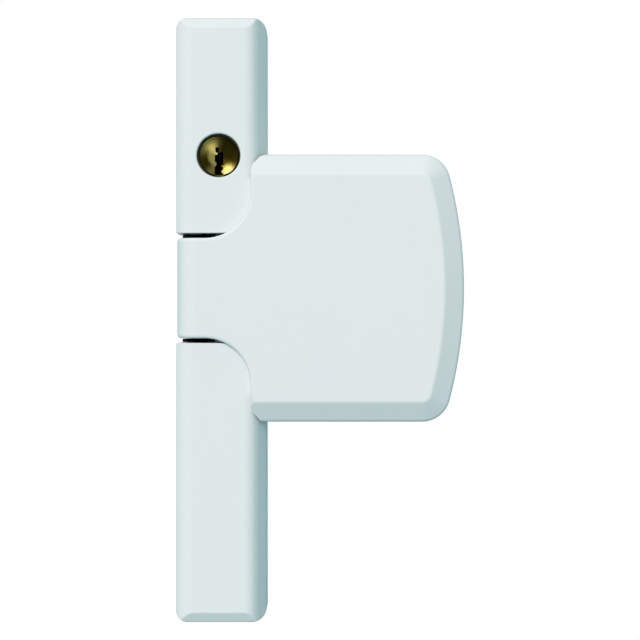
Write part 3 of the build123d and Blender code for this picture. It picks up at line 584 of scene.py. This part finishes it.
def bar_cover(name, low, high, end, rib_heights, snap_heights):
    """A cover: the outside, less the inside, plus a land beside the leaf, ribs and ridges."""
    shell = bar_body(name, 0, low, high, -COVER_LIFT, end)
    inner_low = low - (COVER_WALL if end == TOP else 0)
    inner_high = high + (0 if end == TOP else COVER_WALL)
    combine(shell, bar_body("hollow", COVER_WALL, inner_low, inner_high, 1.0, end), "DIFFERENCE")
    start = (low if end == TOP else high) + LAND_START * end.z
    stop = MIDDLE_Z + LAND_HALF * end.z
    land = start_drawing("land", (LAND_LEFT, -LAND_REAR, start))
    line_to((LAND_LEFT, -LAND_FRONT, start))
    line_to((LAND_LEFT, -LAND_FRONT, stop))
    arc_about((LAND_LEFT, LAND_ROUND - LAND_FRONT, stop), LAND_TURN * end.z, LEFT, 8)
    line_to((LAND_LEFT, -LAND_REAR, last_point().z))
    close_outline()
    thicken((LAND_RIGHT - LAND_LEFT, 0, 0))
    combine(shell, land, "UNION")
    for height in rib_heights:
        rib = bar_body(
            "rib", COVER_WALL / 2, height - RIB_HALF, height + RIB_HALF, -PLATE_FRONT - RIB_GAP,
            end)
        combine(shell, rib, "UNION")
    wall = BAR_WIDTH / 2 - COVER_WALL
    for height in snap_heights:
        for side in (-1, 1):
            foot, root = height - RIDGE_LENGTH / 2, side * (wall + RIDGE_ROOT)
            ridge = start_drawing("ridge", (root, -COVER_LIFT, foot))
            line_to((side * (wall - RIDGE), -COVER_LIFT, foot))
            line_to((side * wall, -COVER_LIFT - RIDGE, foot))
            line_to((root, -COVER_LIFT - RIDGE, foot))
            close_outline()
            thicken((0, 0, RIDGE_LENGTH))
            combine(shell, ridge, "UNION")
    return shell


upper_shell = bar_cover("upper_shell", upper_low.z, upper_high.z, TOP, (65.0,), (30.0, 52.0, 68.0))
lower_shell = bar_cover(
    "lower_shell", lower_low.z, lower_high.z, BOTTOM, (-38.0, -58.0), (-16.0, -48.0, -66.0))
print("covers:", len(upper_shell.data.polygons), len(lower_shell.data.polygons))

# %% [markdown]
# ### The hole for the key
# The mould core that makes the hole has a small flare, so the hole's lip is round. Such a tool is
# a turned shape: half of its outline is drawn and spun about the hole's axis. The hole is a
# little wider than the plug and sits slightly up and to the left, so the gap round it is uneven.

# %% Cut the key hole and finish both covers
HOLE_RADIUS, LIP_RADIUS, LIP_TURN = 5.66, 0.5, 80
CORE_REAR, CORE_FRONT = 28.0, BAR_DEPTH + 1.0
HOLE_LEFT, HOLE_UP = 0.1, 0.15
hole_x, hole_z = key_x - HOLE_LEFT, key_z + HOLE_UP
lip_x = hole_x + HOLE_RADIUS + LIP_RADIUS
lip_y = -BAR_DEPTH + LIP_RADIUS
core = start_drawing("hole_core", (hole_x, -CORE_REAR, hole_z))
line_to((hole_x + HOLE_RADIUS, -CORE_REAR, hole_z))
line_to((hole_x + HOLE_RADIUS, lip_y, hole_z))
arc_about((lip_x, lip_y, hole_z), LIP_TURN, TOP, 6)
line_to((lip_x, -CORE_FRONT, hole_z))
line_to((hole_x, -CORE_FRONT, hole_z))
turned((hole_x, 0, hole_z))
combine(upper_shell, core, "DIFFERENCE")


def soften_rims(shell):
    """Round a cover's rim at the slot, which is still sharp, and return its number of edges."""
    activate(shell)
    bpy.ops.object.mode_set(mode="EDIT")
    slot_z = upper_low.z if shell is upper_shell else lower_high.z

    def at_rim(edge):
        ends = [v.co for v in edge.verts]
        level = all(abs(p.z - slot_z) < 0.01 for p in ends)
        return level and edge.calc_face_angle() > radians(50)

    count = pick("EDGE", at_rim)
    bpy.ops.mesh.bevel(offset=RIM_ROUND, segments=3, affect="EDGES", clamp_overlap=False)
    bpy.ops.object.mode_set(mode="OBJECT")
    return count


for shell, node in ((upper_shell, "upper_cover"), (lower_shell, "lower_cover")):
    print("rim edges:", soften_rims(shell))
    finish_piece(shell, "bar", "white_plastic", node)

# %% [markdown]
# ## The leaf
# The leaf is the broad moulding that swings on the bar: a flap with a wide bevel on three sides,
# and a tongue that enters the bar's slot. The flap is a block whose right side is carved to a
# long curve, and its bevel is a row of insets, each a little narrower and higher, which rounds
# both edges of the bevel as the mould does.

# %% Sizes of the leaf
LEAF_BACK, LEAF_FRONT = 15.5, 32.6
LEAF_LEFT, LEAF_RIGHT = 7.6, 63.1
LEAF_HEIGHT = 69.5
SIDE_RADIUS, CORNER = 115.0, 7.5
BEVEL_WIDTH, BEVEL_DEPTH = 5.2, 3.6
TONGUE_LEFT, TONGUE_HEIGHT = -11.5, 26.0
LEAF_WALL = 1.7
tongue_top = MIDDLE_Z + TONGUE_HEIGHT / 2
tongue_bottom = MIDDLE_Z - TONGUE_HEIGHT / 2
print("middle of the leaf, mm:", round(MIDDLE_Z, 2))


# %% Carve the flap and raise its bevel by insets
def bevel_profile(outer_round, inner_round):
    """Pairs of inset and rise, from the side wall over the sloping bevel to the front face."""
    slope = hypot(BEVEL_WIDTH, BEVEL_DEPTH)
    fall = acos(BEVEL_WIDTH / slope)
    points = []
    turn = pi / 2 - fall
    reach = outer_round * sin(turn / 2) / cos(turn / 2)
    for step in range(5):
        angle = turn * step / 4
        points.append((outer_round * (1 - cos(angle)), -reach + outer_round * sin(angle)))
    reach = inner_round * sin(fall / 2) / cos(fall / 2)
    for step in range(6):
        angle = fall * (1 - step / 5)
        inwards = BEVEL_WIDTH + reach - inner_round * sin(angle)
        points.append((inwards, BEVEL_DEPTH - inner_round * (1 - cos(angle))))
    return points


def flap_body(name, inset, left, outer_round, inner_round):
    """The flap with its bevel, smaller by an inset, and plain on its left."""
    half = LEAF_HEIGHT / 2 - inset
    shoulder = LEAF_FRONT - BEVEL_DEPTH - inset
    profile = bevel_profile(outer_round, inner_round)
    start = shoulder + profile[0][1]
    right = LEAF_RIGHT - inset
    flap = add_box(
        name, (left, -start, MIDDLE_Z - half), (right, -LEAF_BACK, MIDDLE_Z + half))
    side = Vector((LEAF_RIGHT - SIDE_RADIUS, 0, MIDDLE_Z))
    drop = LEAF_HEIGHT / 2 - CORNER
    across = ((SIDE_RADIUS - CORNER) ** 2 - drop ** 2) ** 0.5
    meet = acos(across / (SIDE_RADIUS - CORNER))
    for step in range(1, 10):
        for sign in (-1, 1):
            angle = meet * step / 9 * sign
            normal = Vector((cos(angle), 0, sin(angle)))
            cut(normal, normal.dot(side) + SIDE_RADIUS - inset)
    for sign in (-1, 1):
        centre = side + Vector((across, 0, sign * drop))
        for step in range(1, 14):
            angle = (meet + (pi / 2 - meet) * step / 14) * sign
            normal = Vector((cos(angle), 0, sin(angle)))
            cut(normal, normal.dot(centre) + CORNER - inset)
    pick("FACE", lambda f: f.normal.y < -0.99)
    for (t0, h0), (t1, h1) in zip(profile, profile[1:]):
        bpy.ops.mesh.inset(thickness=t1 - t0, depth=h1 - h0)
    return flap


BLOCK_LEFT, OUTER_ROUND, INNER_ROUND = -45.0, 1.5, 1.8
leaf_shell = flap_body("leaf_shell", 0, BLOCK_LEFT, OUTER_ROUND, INNER_ROUND)
measure(leaf_shell)

# %% [markdown]
# ### The sweep between flap and tongue
# Seen from the front, the flap runs into the tongue in two hollow curves. That outline is drawn
# as a plate, like a cutter for biscuits, and the block is intersected with it. Below the tongue
# the flap's left side leans a little to the right towards the lower corner. The plate's front
# edge is stepped by insets too, so the leaf gets its margin in the same cut: a small round, a
# narrow slope and a long flat round that leads the light over to the front face.

# %% Draw the outline and intersect
ROOT, TOP_ROUNDING, BOTTOM_ROUNDING, BOTTOM_SHIFT = 11.9, 4.6, 3.0, 0.4
flap_top, flap_bottom = MIDDLE_Z + LEAF_HEIGHT / 2, MIDDLE_Z - LEAF_HEIGHT / 2
top_x, root_x = LEAF_LEFT + TOP_ROUNDING, LEAF_LEFT - ROOT
bottom_x = LEAF_LEFT + BOTTOM_SHIFT + BOTTOM_ROUNDING
start_y = -LEAF_BACK + 1.0
beyond_top, beyond_bottom, beyond_right = flap_top + 5, flap_bottom - 5, 80
cutter = start_drawing("leaf_outline", (top_x, start_y, beyond_top))
for x, z in ((beyond_right, beyond_top), (beyond_right, beyond_bottom),
             (bottom_x, beyond_bottom), (bottom_x, flap_bottom)):
    line_to((x, start_y, z))
arc_about((bottom_x, start_y, flap_bottom + BOTTOM_ROUNDING), -90, FRONT, 12)
line_to((LEAF_LEFT, start_y, tongue_bottom - ROOT))
arc_about((root_x, start_y, tongue_bottom - ROOT), 90, FRONT, 24)
line_to((TONGUE_LEFT, start_y, tongue_bottom))
line_to((TONGUE_LEFT, start_y, tongue_top))
line_to((root_x, start_y, tongue_top))
arc_about((root_x, start_y, tongue_top + ROOT), 90, FRONT, 24)
line_to((LEAF_LEFT, start_y, flap_top - TOP_ROUNDING))
arc_about((top_x, start_y, flap_top - TOP_ROUNDING), -90, FRONT, 12)
close_outline()


def margin_profile():
    """Pairs of inset and height below the front face, from the side wall to the front face."""
    small, slope, width, large = 0.65, radians(21), 0.1, 1.1
    turns = [(pi / 2 - slope) * step / 3 for step in range(4)]
    points = [(small * (1 - cos(a)), small * sin(a)) for a in turns]
    inset, rise = points[-1][0] + width, points[-1][1] + width * sin(slope) / cos(slope)
    for step in range(4):
        a = slope * (1 - step / 3)
        points.append((inset + large * (sin(slope) - sin(a)),
                       rise + large * (cos(a) - cos(slope))))
    return [(inset, points[-1][1] - rise) for inset, rise in points]


edge_rings = margin_profile()
thicken((0, -LEAF_FRONT - start_y + edge_rings[0][1], 0))
pick("FACE", lambda f: f.normal.y < -0.99)
for (t0, h0), (t1, h1) in zip(edge_rings, edge_rings[1:]):
    bpy.ops.mesh.inset(thickness=t1 - t0, depth=h0 - h1)
bpy.ops.mesh.extrude_region_move(TRANSFORM_OT_translate={"value": (0, -1, 0)})
measure(cutter)
combine(leaf_shell, cutter, "INTERSECT")
measure(leaf_shell)

# %% [markdown]
# ### The tongue's round side
# The tongue's left side is rounded as the bar's is, so that it can turn about the hinge. This end
# of the tongue bulges outwards everywhere, so it is carved on its own from a box, and then
# joined to the rest: both have the same section where they meet, and their points merge.

# %% Carve the tongue's end and join it
JOINT_X, TONGUE_ROUND, TONGUE_CORNER = -5.0, 5.2, 1.1
activate(leaf_shell)
bpy.ops.object.mode_set(mode="EDIT")
cut(LEFT, -JOINT_X)
pick("FACE", lambda f: f.normal.x < -0.99 and abs(f.calc_center_median().x - JOINT_X) < 0.01)
bpy.ops.mesh.delete(type="ONLY_FACE")

tongue_end = add_box(
    "tongue_end", (TONGUE_LEFT, -LEAF_FRONT, tongue_bottom), (JOINT_X, -LEAF_BACK, tongue_top))
left, face = (LEFT, -TONGUE_LEFT), (FRONT, LEAF_FRONT)
facets = round_edge(face, left, TONGUE_ROUND, 12)
for end in ((TOP, tongue_top), (BOTTOM, -tongue_bottom)):
    round_edge(left, end, TONGUE_CORNER, 6)
    for normal, distance in [face, *facets]:
        for (t0, h0), (t1, h1) in zip(edge_rings, edge_rings[1:]):
            tilted = ((t1 - t0) * normal + (h0 - h1) * end[0]).normalized()
            cut(tilted, tilted.dot((distance - h0) * normal + (end[1] - t0) * end[0]))
pick("FACE", lambda f: f.normal.x > 0.99)
bpy.ops.mesh.delete(type="ONLY_FACE")
activate(leaf_shell)
tongue_end.select_set(True)
bpy.ops.object.join()
bpy.ops.object.mode_set(mode="EDIT")
bpy.ops.mesh.select_all(action="SELECT")
bpy.ops.mesh.remove_doubles(threshold=0.002)
bpy.ops.mesh.normals_make_consistent(inside=False)
measure(leaf_shell)

# %% [markdown]
# ### Room for the bar
# Behind the flap's left part the leaf is hollowed so that it passes the bar's round side as it
# swings: first along that side, then on a circle about the hinge. The same form, a wall larger,
# is kept out of the hollow inside. A flat step over the covers' lands keeps the leaf's margin
# a tenth of a millimetre in front of them.

# %% Draw the room for the bar and take it away
hinge = Vector(joint_places["leaf_swing"]) / MM
hinge.z = 0
bar_round = Vector((BAR_WIDTH / 2 - RIGHT_ROUND, -BAR_DEPTH + RIGHT_ROUND, 0))
line_of_centres = bar_round - hinge
centres_turn = -acos(line_of_centres.x / line_of_centres.length) * 180 / pi
# The arc about the hinge runs on until it is 20 degrees behind the hinge
SWING_GAP, ARC_BEHIND = 0.25, 20.0
ROOM_LEFT, ROOM_REAR, ROOM_HEIGHT = 60.0, 8.0, 80
STEP_RIGHT, STEP_REAR, STEP_FRONT, STEP_HALF = 8.4, 28.0, 31.12, 29.6


def room_for_bar(name, grow, start_z, height):
    """The room above or below the tongue, seen from above, grown by a wall."""
    reach = RIGHT_ROUND + SWING_GAP + grow
    front_y = bar_round.y - reach
    room = start_drawing(name, (-ROOM_LEFT, -ROOM_REAR, start_z))
    line_to((-ROOM_LEFT, front_y, start_z))
    line_to((bar_round.x, front_y, start_z))
    arc_about((bar_round.x, bar_round.y, start_z), 90 + centres_turn, TOP, 14)
    arc_about((hinge.x, hinge.y, start_z), ARC_BEHIND - centres_turn, TOP, 16)
    line_to((last_point().x, -ROOM_REAR, start_z))
    close_outline()
    thicken((0, 0, height))
    return room


for start_z, height in ((tongue_top, ROOM_HEIGHT), (tongue_bottom, -ROOM_HEIGHT)):
    combine(leaf_shell, room_for_bar("room", 0, start_z, height), "DIFFERENCE")
    low_z, high_z = sorted((start_z, MIDDLE_Z + (STEP_HALF if height > 0 else -STEP_HALF)))
    over_land = add_box("over_land", (0, -STEP_FRONT, low_z), (STEP_RIGHT, -STEP_REAR, high_z))
    combine(leaf_shell, over_land, "DIFFERENCE")
    measure(leaf_shell)

# %% [markdown]
# ### Hollow from behind
# The moulding is a shell. Its hollow is the flap a wall smaller, less the wall round the bar's
# room, plus the hollow of the tongue. Four bosses stand in it for the screws from the plate.

# %% Hollow the leaf
SIDE_WALL, END_WALL = 1.05, 1.4
HOLLOW_OUTER, HOLLOW_INNER = 0.3, 0.8
ENDS_FRONT, ENDS_RIGHT = 24.5, 6.7
inner_left = TONGUE_LEFT + SIDE_WALL
inner_front = LEAF_FRONT - LEAF_WALL
hollow = flap_body("hollow", LEAF_WALL, LEAF_LEFT, HOLLOW_OUTER, HOLLOW_INNER)
for start_z, height in ((tongue_top - END_WALL, ROOM_HEIGHT),
                        (tongue_bottom + END_WALL, -ROOM_HEIGHT)):
    combine(hollow, room_for_bar("room", LEAF_WALL, start_z, height), "DIFFERENCE")
arm = add_box(
    "arm_hollow",
    (inner_left, -inner_front, tongue_bottom + END_WALL),
    (LEAF_LEFT + 2 * LEAF_WALL, -LEAF_BACK + 1, tongue_top - END_WALL))
round_edge((FRONT, inner_front), (LEFT, -inner_left), TONGUE_ROUND - SIDE_WALL, 10)
combine(hollow, arm, "UNION")
combine(leaf_shell, hollow, "DIFFERENCE")
ends = add_box(
    "tongue_ends",
    (inner_left, -ENDS_FRONT, tongue_bottom - 1),
    (ENDS_RIGHT, -LEAF_BACK + 1, tongue_top + 1))
combine(leaf_shell, ends, "DIFFERENCE")
print("leaf faces:", len(leaf_shell.data.polygons))

# %% Add the screw bosses
SCREW_COLUMNS, SCREW_SPREAD = (21.0, 49.0), 23.0
ROD_STEPS, BOSS_RADIUS, BOSS_FOOT, BOSS_OVERLAP = 48, 3.0, 18.5, 0.3
DRILL_RADIUS, DRILL_FOOT, DRILL_TIP = 1.55, 17.5, 26.05
screw_spots = [(x, MIDDLE_Z + side * SCREW_SPREAD) for x in SCREW_COLUMNS for side in (-1, 1)]


def add_rod(name, radius, spot, rear_y, front_y):
    """A plain rod along Y, used as a boss or as the drill for its hole."""
    deselect()
    bpy.ops.mesh.primitive_cylinder_add(
        vertices=ROD_STEPS, radius=radius, depth=rear_y - front_y,
        location=(spot[0], (rear_y + front_y) / 2, spot[1]), rotation=(pi / 2, 0, 0))
    bpy.context.object.name = name
    bpy.ops.object.transform_apply(location=True, rotation=True, scale=True)
    return bpy.context.object


for spot in screw_spots:
    boss = add_rod("boss", BOSS_RADIUS, spot, -BOSS_FOOT, -inner_front - BOSS_OVERLAP)
    combine(leaf_shell, boss, "UNION")
    drill = add_rod("drill", DRILL_RADIUS, spot, -DRILL_FOOT, -DRILL_TIP)
    combine(leaf_shell, drill, "DIFFERENCE")
finish_piece(leaf_shell, "leaf", "white_plastic", "leaf_cover")

# %% [markdown]
# ## The plug
# The plug is the part of the cylinder that the key turns. It is turned from brass rod, and the
# keyway is broached through it with the ridges that guide the key. The face is a shallow dish
# that rises to a softened rim, so light runs round it.

# %% Turn the plug
PLUG_FRONT, NOSE_RADIUS, PLUG_RADIUS, SHOULDER, PLUG_REAR = 29.8, 5.19, 4.8, 26.0, 10.0
DISH_RADIUS, DISH_DEPTH, DISH_RISE = 4.4, 0.46, 0.24
outline = [
    *[(r, PLUG_FRONT - DISH_DEPTH + DISH_RISE * (r / DISH_RADIUS) ** 2)
      for r in (0, 0.7, 1.4, 2.1, 2.8, 3.5, DISH_RADIUS)],
    (4.55, PLUG_FRONT - 0.17), (5.0, PLUG_FRONT), (5.05, PLUG_FRONT - 0.02),
    (5.05, PLUG_FRONT - 0.5), (NOSE_RADIUS, PLUG_FRONT - 0.6), (NOSE_RADIUS, SHOULDER),
    (PLUG_RADIUS, SHOULDER), (PLUG_RADIUS, PLUG_REAR), (0.0, PLUG_REAR),
]
plug_shell = start_drawing("plug_face", (key_x, -outline[0][1], key_z))
for radius_mm, depth in outline[1:]:
    line_to((key_x + radius_mm, -depth, key_z))
turned((key_x, 0, key_z))
bpy.ops.object.mode_set(mode="OBJECT")
print("plug points:", len(plug_shell.data.vertices))

# %% Broach the keyway and drill the pin chambers
KEYWAY = [
    (-0.95, 2.3), (-0.95, 1.15), (-0.35, 0.75), (-0.35, 0.45), (-1.1, 0.2), (-1.1, -1.4),
    (-0.7, -1.7), (-0.7, -2.5), (-1.1, -2.8), (-1.1, -6.0), (1.1, -6.0), (1.1, -4.6),
    (0.6, -4.3), (0.6, -3.8), (1.1, -3.5), (1.1, -2.9), (0.5, -2.6), (1.1, -2.2), (1.1, 1.0),
    (0.15, 1.3), (0.15, 2.3),
]
broach = start_drawing("broach", (key_x + KEYWAY[0][0], -PLUG_REAR - 2, key_z + KEYWAY[0][1]))
for x, z in KEYWAY[1:]:
    line_to((key_x + x, -PLUG_REAR - 2, key_z + z))
close_outline()
thicken((0, -25.0, 0))
combine(plug_shell, broach, "DIFFERENCE")
PINS, FIRST_PIN, PIN_PITCH = 5, 24.2, 3.0
CHAMBER_STEPS, CHAMBER_RADIUS, CHAMBER_LENGTH, CHAMBER_FOOT = 32, 1.2, 8.0, 0.9
for index in range(PINS):
    deselect()
    bpy.ops.mesh.primitive_cylinder_add(
        vertices=CHAMBER_STEPS, radius=CHAMBER_RADIUS, depth=CHAMBER_LENGTH,
        location=(key_x, PIN_PITCH * index - FIRST_PIN,
                  key_z - CHAMBER_FOOT + CHAMBER_LENGTH / 2))
    bpy.ops.object.transform_apply(location=True, rotation=True, scale=True)
    combine(plug_shell, bpy.context.object, "DIFFERENCE")
print("plug faces:", len(plug_shell.data.polygons))

# %% Add the plug's square and the neck for its clip
TAIL_HALF, TAIL_END = 2.2, 7.9
tail = add_box(
    "tail", (key_x - TAIL_HALF, -PLUG_REAR - 0.5, key_z - TAIL_HALF),
    (key_x + TAIL_HALF, -TAIL_END, key_z + TAIL_HALF))
combine(plug_shell, tail, "UNION")
combine(plug_shell, add_rod("groove", 1.25, (key_x, key_z), -7.0, -8.4), "UNION")
combine(plug_shell, add_rod("neck", 1.7, (key_x, key_z), -6.8, -7.3), "UNION")
finish_piece(plug_shell, "plug", "cylinder_brass", "cylinder_plug")
plug_shell.data.materials[0] = plug_brass

# %% [markdown]
# ## Screws and pads
# The screws go in from behind. One is turned with its countersunk head, a cross recess is cut in
# it, and it is copied to every hole, each copy with its own mesh. The rubber pads that press on
# the sash are moulded with a round edge and a shallow ring that lets them spread.

# %% Make one screw and copy it
RECESS_HALF, RECESS_THIN, RECESS_DEPTH, RECESS_TAPER = 1.6, 0.42, 1.3, 0.45


def make_screw(length):
    """A countersunk screw whose head is flush with y = 0 and whose shank runs towards -Y."""
    screw = start_drawing("screw", (0, 0, 0))
    for radius_mm, depth in (
            (2.8, 0.0), (3.0, 0.12), (3.0, 0.22), (1.5, 1.62),
            (1.5, length - 1.0), (0.5, length), (0.0, length)):
        line_to((radius_mm, -depth, 0))
    turned((0, 0, 0))
    for x, z in ((RECESS_HALF, RECESS_THIN), (RECESS_THIN, RECESS_HALF)):
        slot_cutter = add_box("cross", (-x, -RECESS_DEPTH, -z), (x, 1.0, z))
        pick("FACE", lambda f: f.normal.y < -0.9)
        bpy.ops.transform.resize(value=(RECESS_TAPER, 1, RECESS_TAPER))
        combine(screw, slot_cutter, "DIFFERENCE")
    return screw


def place_screws(node, body, length, spots):
    """Copy one screw to every spot, given as (x, y, z) of the middle of its head."""
    pattern = make_screw(length)
    for number, spot in enumerate(spots, 1):
        activate(pattern)
        bpy.ops.object.duplicate(linked=False)
        copy = bpy.context.object
        copy.name = f"{node[:-1]}_{number}"
        bpy.ops.transform.translate(value=spot)
        bpy.ops.object.transform_apply(location=True, rotation=True, scale=True)
        finish_piece(copy, body, "zinc_plated_steel", node)
    bpy.data.objects.remove(pattern)


LEAF_SCREW, CASE_SCREW = 10.5, 12.0
place_screws("leaf_screws", "leaf", LEAF_SCREW, [(x, -LEAF_BACK, z) for x, z in screw_spots])
place_screws("case_screws", "bar", CASE_SCREW, [
    (hinge.x, 0, 28.5), (key_x, 0, 60.6), (hinge.x, 0, -11.0), (hinge.x, 0, -28.0)])

# %% Mould the two pads
PAD_X, PAD_SPREAD, PAD_RADIUS, PAD_ROUND = 43.0, 13.0, 6.0, 0.7
PAD_FOOT, PAD_EDGE, PAD_FACE, RING_FLOOR = 16.5, 14.6, 13.9, 14.25
pad_right = PAD_X + PAD_RADIUS
for number, side in enumerate((-1, 1), 1):
    pad_z = MIDDLE_Z + side * PAD_SPREAD
    pad = start_drawing(f"pressure_pad_{number}", (PAD_X, -PAD_FOOT, pad_z))
    line_to((pad_right, -PAD_FOOT, pad_z))
    line_to((pad_right, -PAD_EDGE, pad_z))
    arc_about((pad_right - PAD_ROUND, -PAD_EDGE, pad_z), 90, TOP, 5)
    for radius_mm, depth in (
            (4.2, PAD_FACE), (3.9, RING_FLOOR), (2.9, RING_FLOOR), (2.6, PAD_FACE), (0, PAD_FACE)):
        line_to((PAD_X + radius_mm, -depth, pad_z))
    turned((PAD_X, 0, pad_z))
    finish_piece(pad, "leaf", "pad_rubber", "pressure_pads")

# %% [markdown]
# ## Finishes of the CAD nodes
# The plates, castings, pins and bushes keep their CAD shapes, which are right. Each gets the
# finish of its material slot.

# %% Give every CAD node its finish
for row in frame["record"]["subparts"]:
    node = frame["nodes"][row["node"]]
    node.data.materials.clear()
    node.data.materials.append(finishes[row["material_slot"]])

# %% [markdown]
# ## Light, floor and camera
# The light is one large soft lamp at the upper left, a little warm, and a cool even sky. To the
# camera and to shiny surfaces the sky is white, and only for diffuse light is it grey, so the
# background is white without more light on the object. The floor lies below the camera's view
# and shows only in views from other angles.

# %% World
SKY_DIFFUSE = (0.34, 0.504, 0.505, 1)
world = bpy.data.worlds.new("soft_studio")
bpy.context.scene.world = world
world.use_nodes = True
tree = world.node_tree
tree.nodes.clear()
path = add_node(tree, "ShaderNodeLightPath")
seen = add_node(tree, "ShaderNodeMath", {
    0: path.outputs["Is Camera Ray"], 1: path.outputs["Is Glossy Ray"]},
    operation="ADD", use_clamp=True)
seen_or_through = add_node(tree, "ShaderNodeMath", {
    0: seen.outputs["Value"], 1: path.outputs["Is Transmission Ray"]},
    operation="ADD", use_clamp=True)
sky = add_node(tree, "ShaderNodeBackground", {"Color": SKY_DIFFUSE, "Strength": 1.0})
white = add_node(tree, "ShaderNodeBackground", {"Color": (1, 1, 1, 1), "Strength": 1.0})
mixed = add_node(tree, "ShaderNodeMixShader", {
    0: seen_or_through.outputs["Value"],
    1: sky.outputs["Background"], 2: white.outputs["Background"]})
add_node(tree, "ShaderNodeOutputWorld", {"Surface": mixed.outputs["Shader"]})

# %% Lamp
KEY_DIRECTION = Vector((-0.268, -0.867, 0.42)).normalized()
KEY_DISTANCE, KEY_SIZE, KEY_STRENGTH = 12.0, 6.2, 0.889
LIT_POINT = Vector((0.02, -0.02, 0))
deselect()
bpy.ops.object.light_add(type="AREA", location=LIT_POINT + KEY_DIRECTION * KEY_DISTANCE)
key_lamp = bpy.context.object
key_lamp.name = "key_lamp"
key_lamp.rotation_euler = KEY_DIRECTION.to_track_quat("Z", "Y").to_euler()
key_lamp.data.shape = "DISK"
key_lamp.data.size = KEY_SIZE
key_lamp.data.color = (1.0, 0.752, 0.738)
# A lamp of P watts lights a surface facing it with about P / (pi * distance squared), and a
# white surface sends out that much divided by pi
key_lamp.data.energy = KEY_STRENGTH * pi * pi * KEY_DISTANCE ** 2
print("lamp watts:", round(key_lamp.data.energy, 1))

# %% Floor
FLOOR_SIZE, FLOOR_PLACE = 1.5, (0.02, -0.27, -0.125)
deselect()
bpy.ops.mesh.primitive_plane_add(size=FLOOR_SIZE, location=FLOOR_PLACE)
floor = bpy.context.object
floor.name = "floor"
bpy.ops.object.transform_apply(location=True, rotation=True, scale=True)
material, tree, shader, place = start_finish("pale_matt_floor")
base = shade_between(tree, place, 80, "#E9E9E8", "#EDEDEC")
path = add_node(tree, "ShaderNodeLightPath")
floor_colour = add_node(tree, "ShaderNodeMix", {
    "Factor": path.outputs["Is Camera Ray"], "A": linear("#96BDC1"), "B": base,
}, data_type="RGBA")
tree.links.new(floor_colour.outputs["Result"], shader.inputs["Base Color"])
shader.inputs["Roughness"].default_value = 0.9
floor.data.materials.append(material)

# %% Camera
CAMERA_PLACE = (0.02564, -1.1845, 0.00001)
deselect()
bpy.ops.object.camera_add(location=CAMERA_PLACE, rotation=(pi / 2, 0, 0))
camera = bpy.context.object
camera.name = "camera"
camera.data.lens = 250
camera.data.sensor_width = 36
camera.data.clip_end = 10
bpy.context.scene.camera = camera
bpy.context.scene.view_settings.view_transform = "Standard"
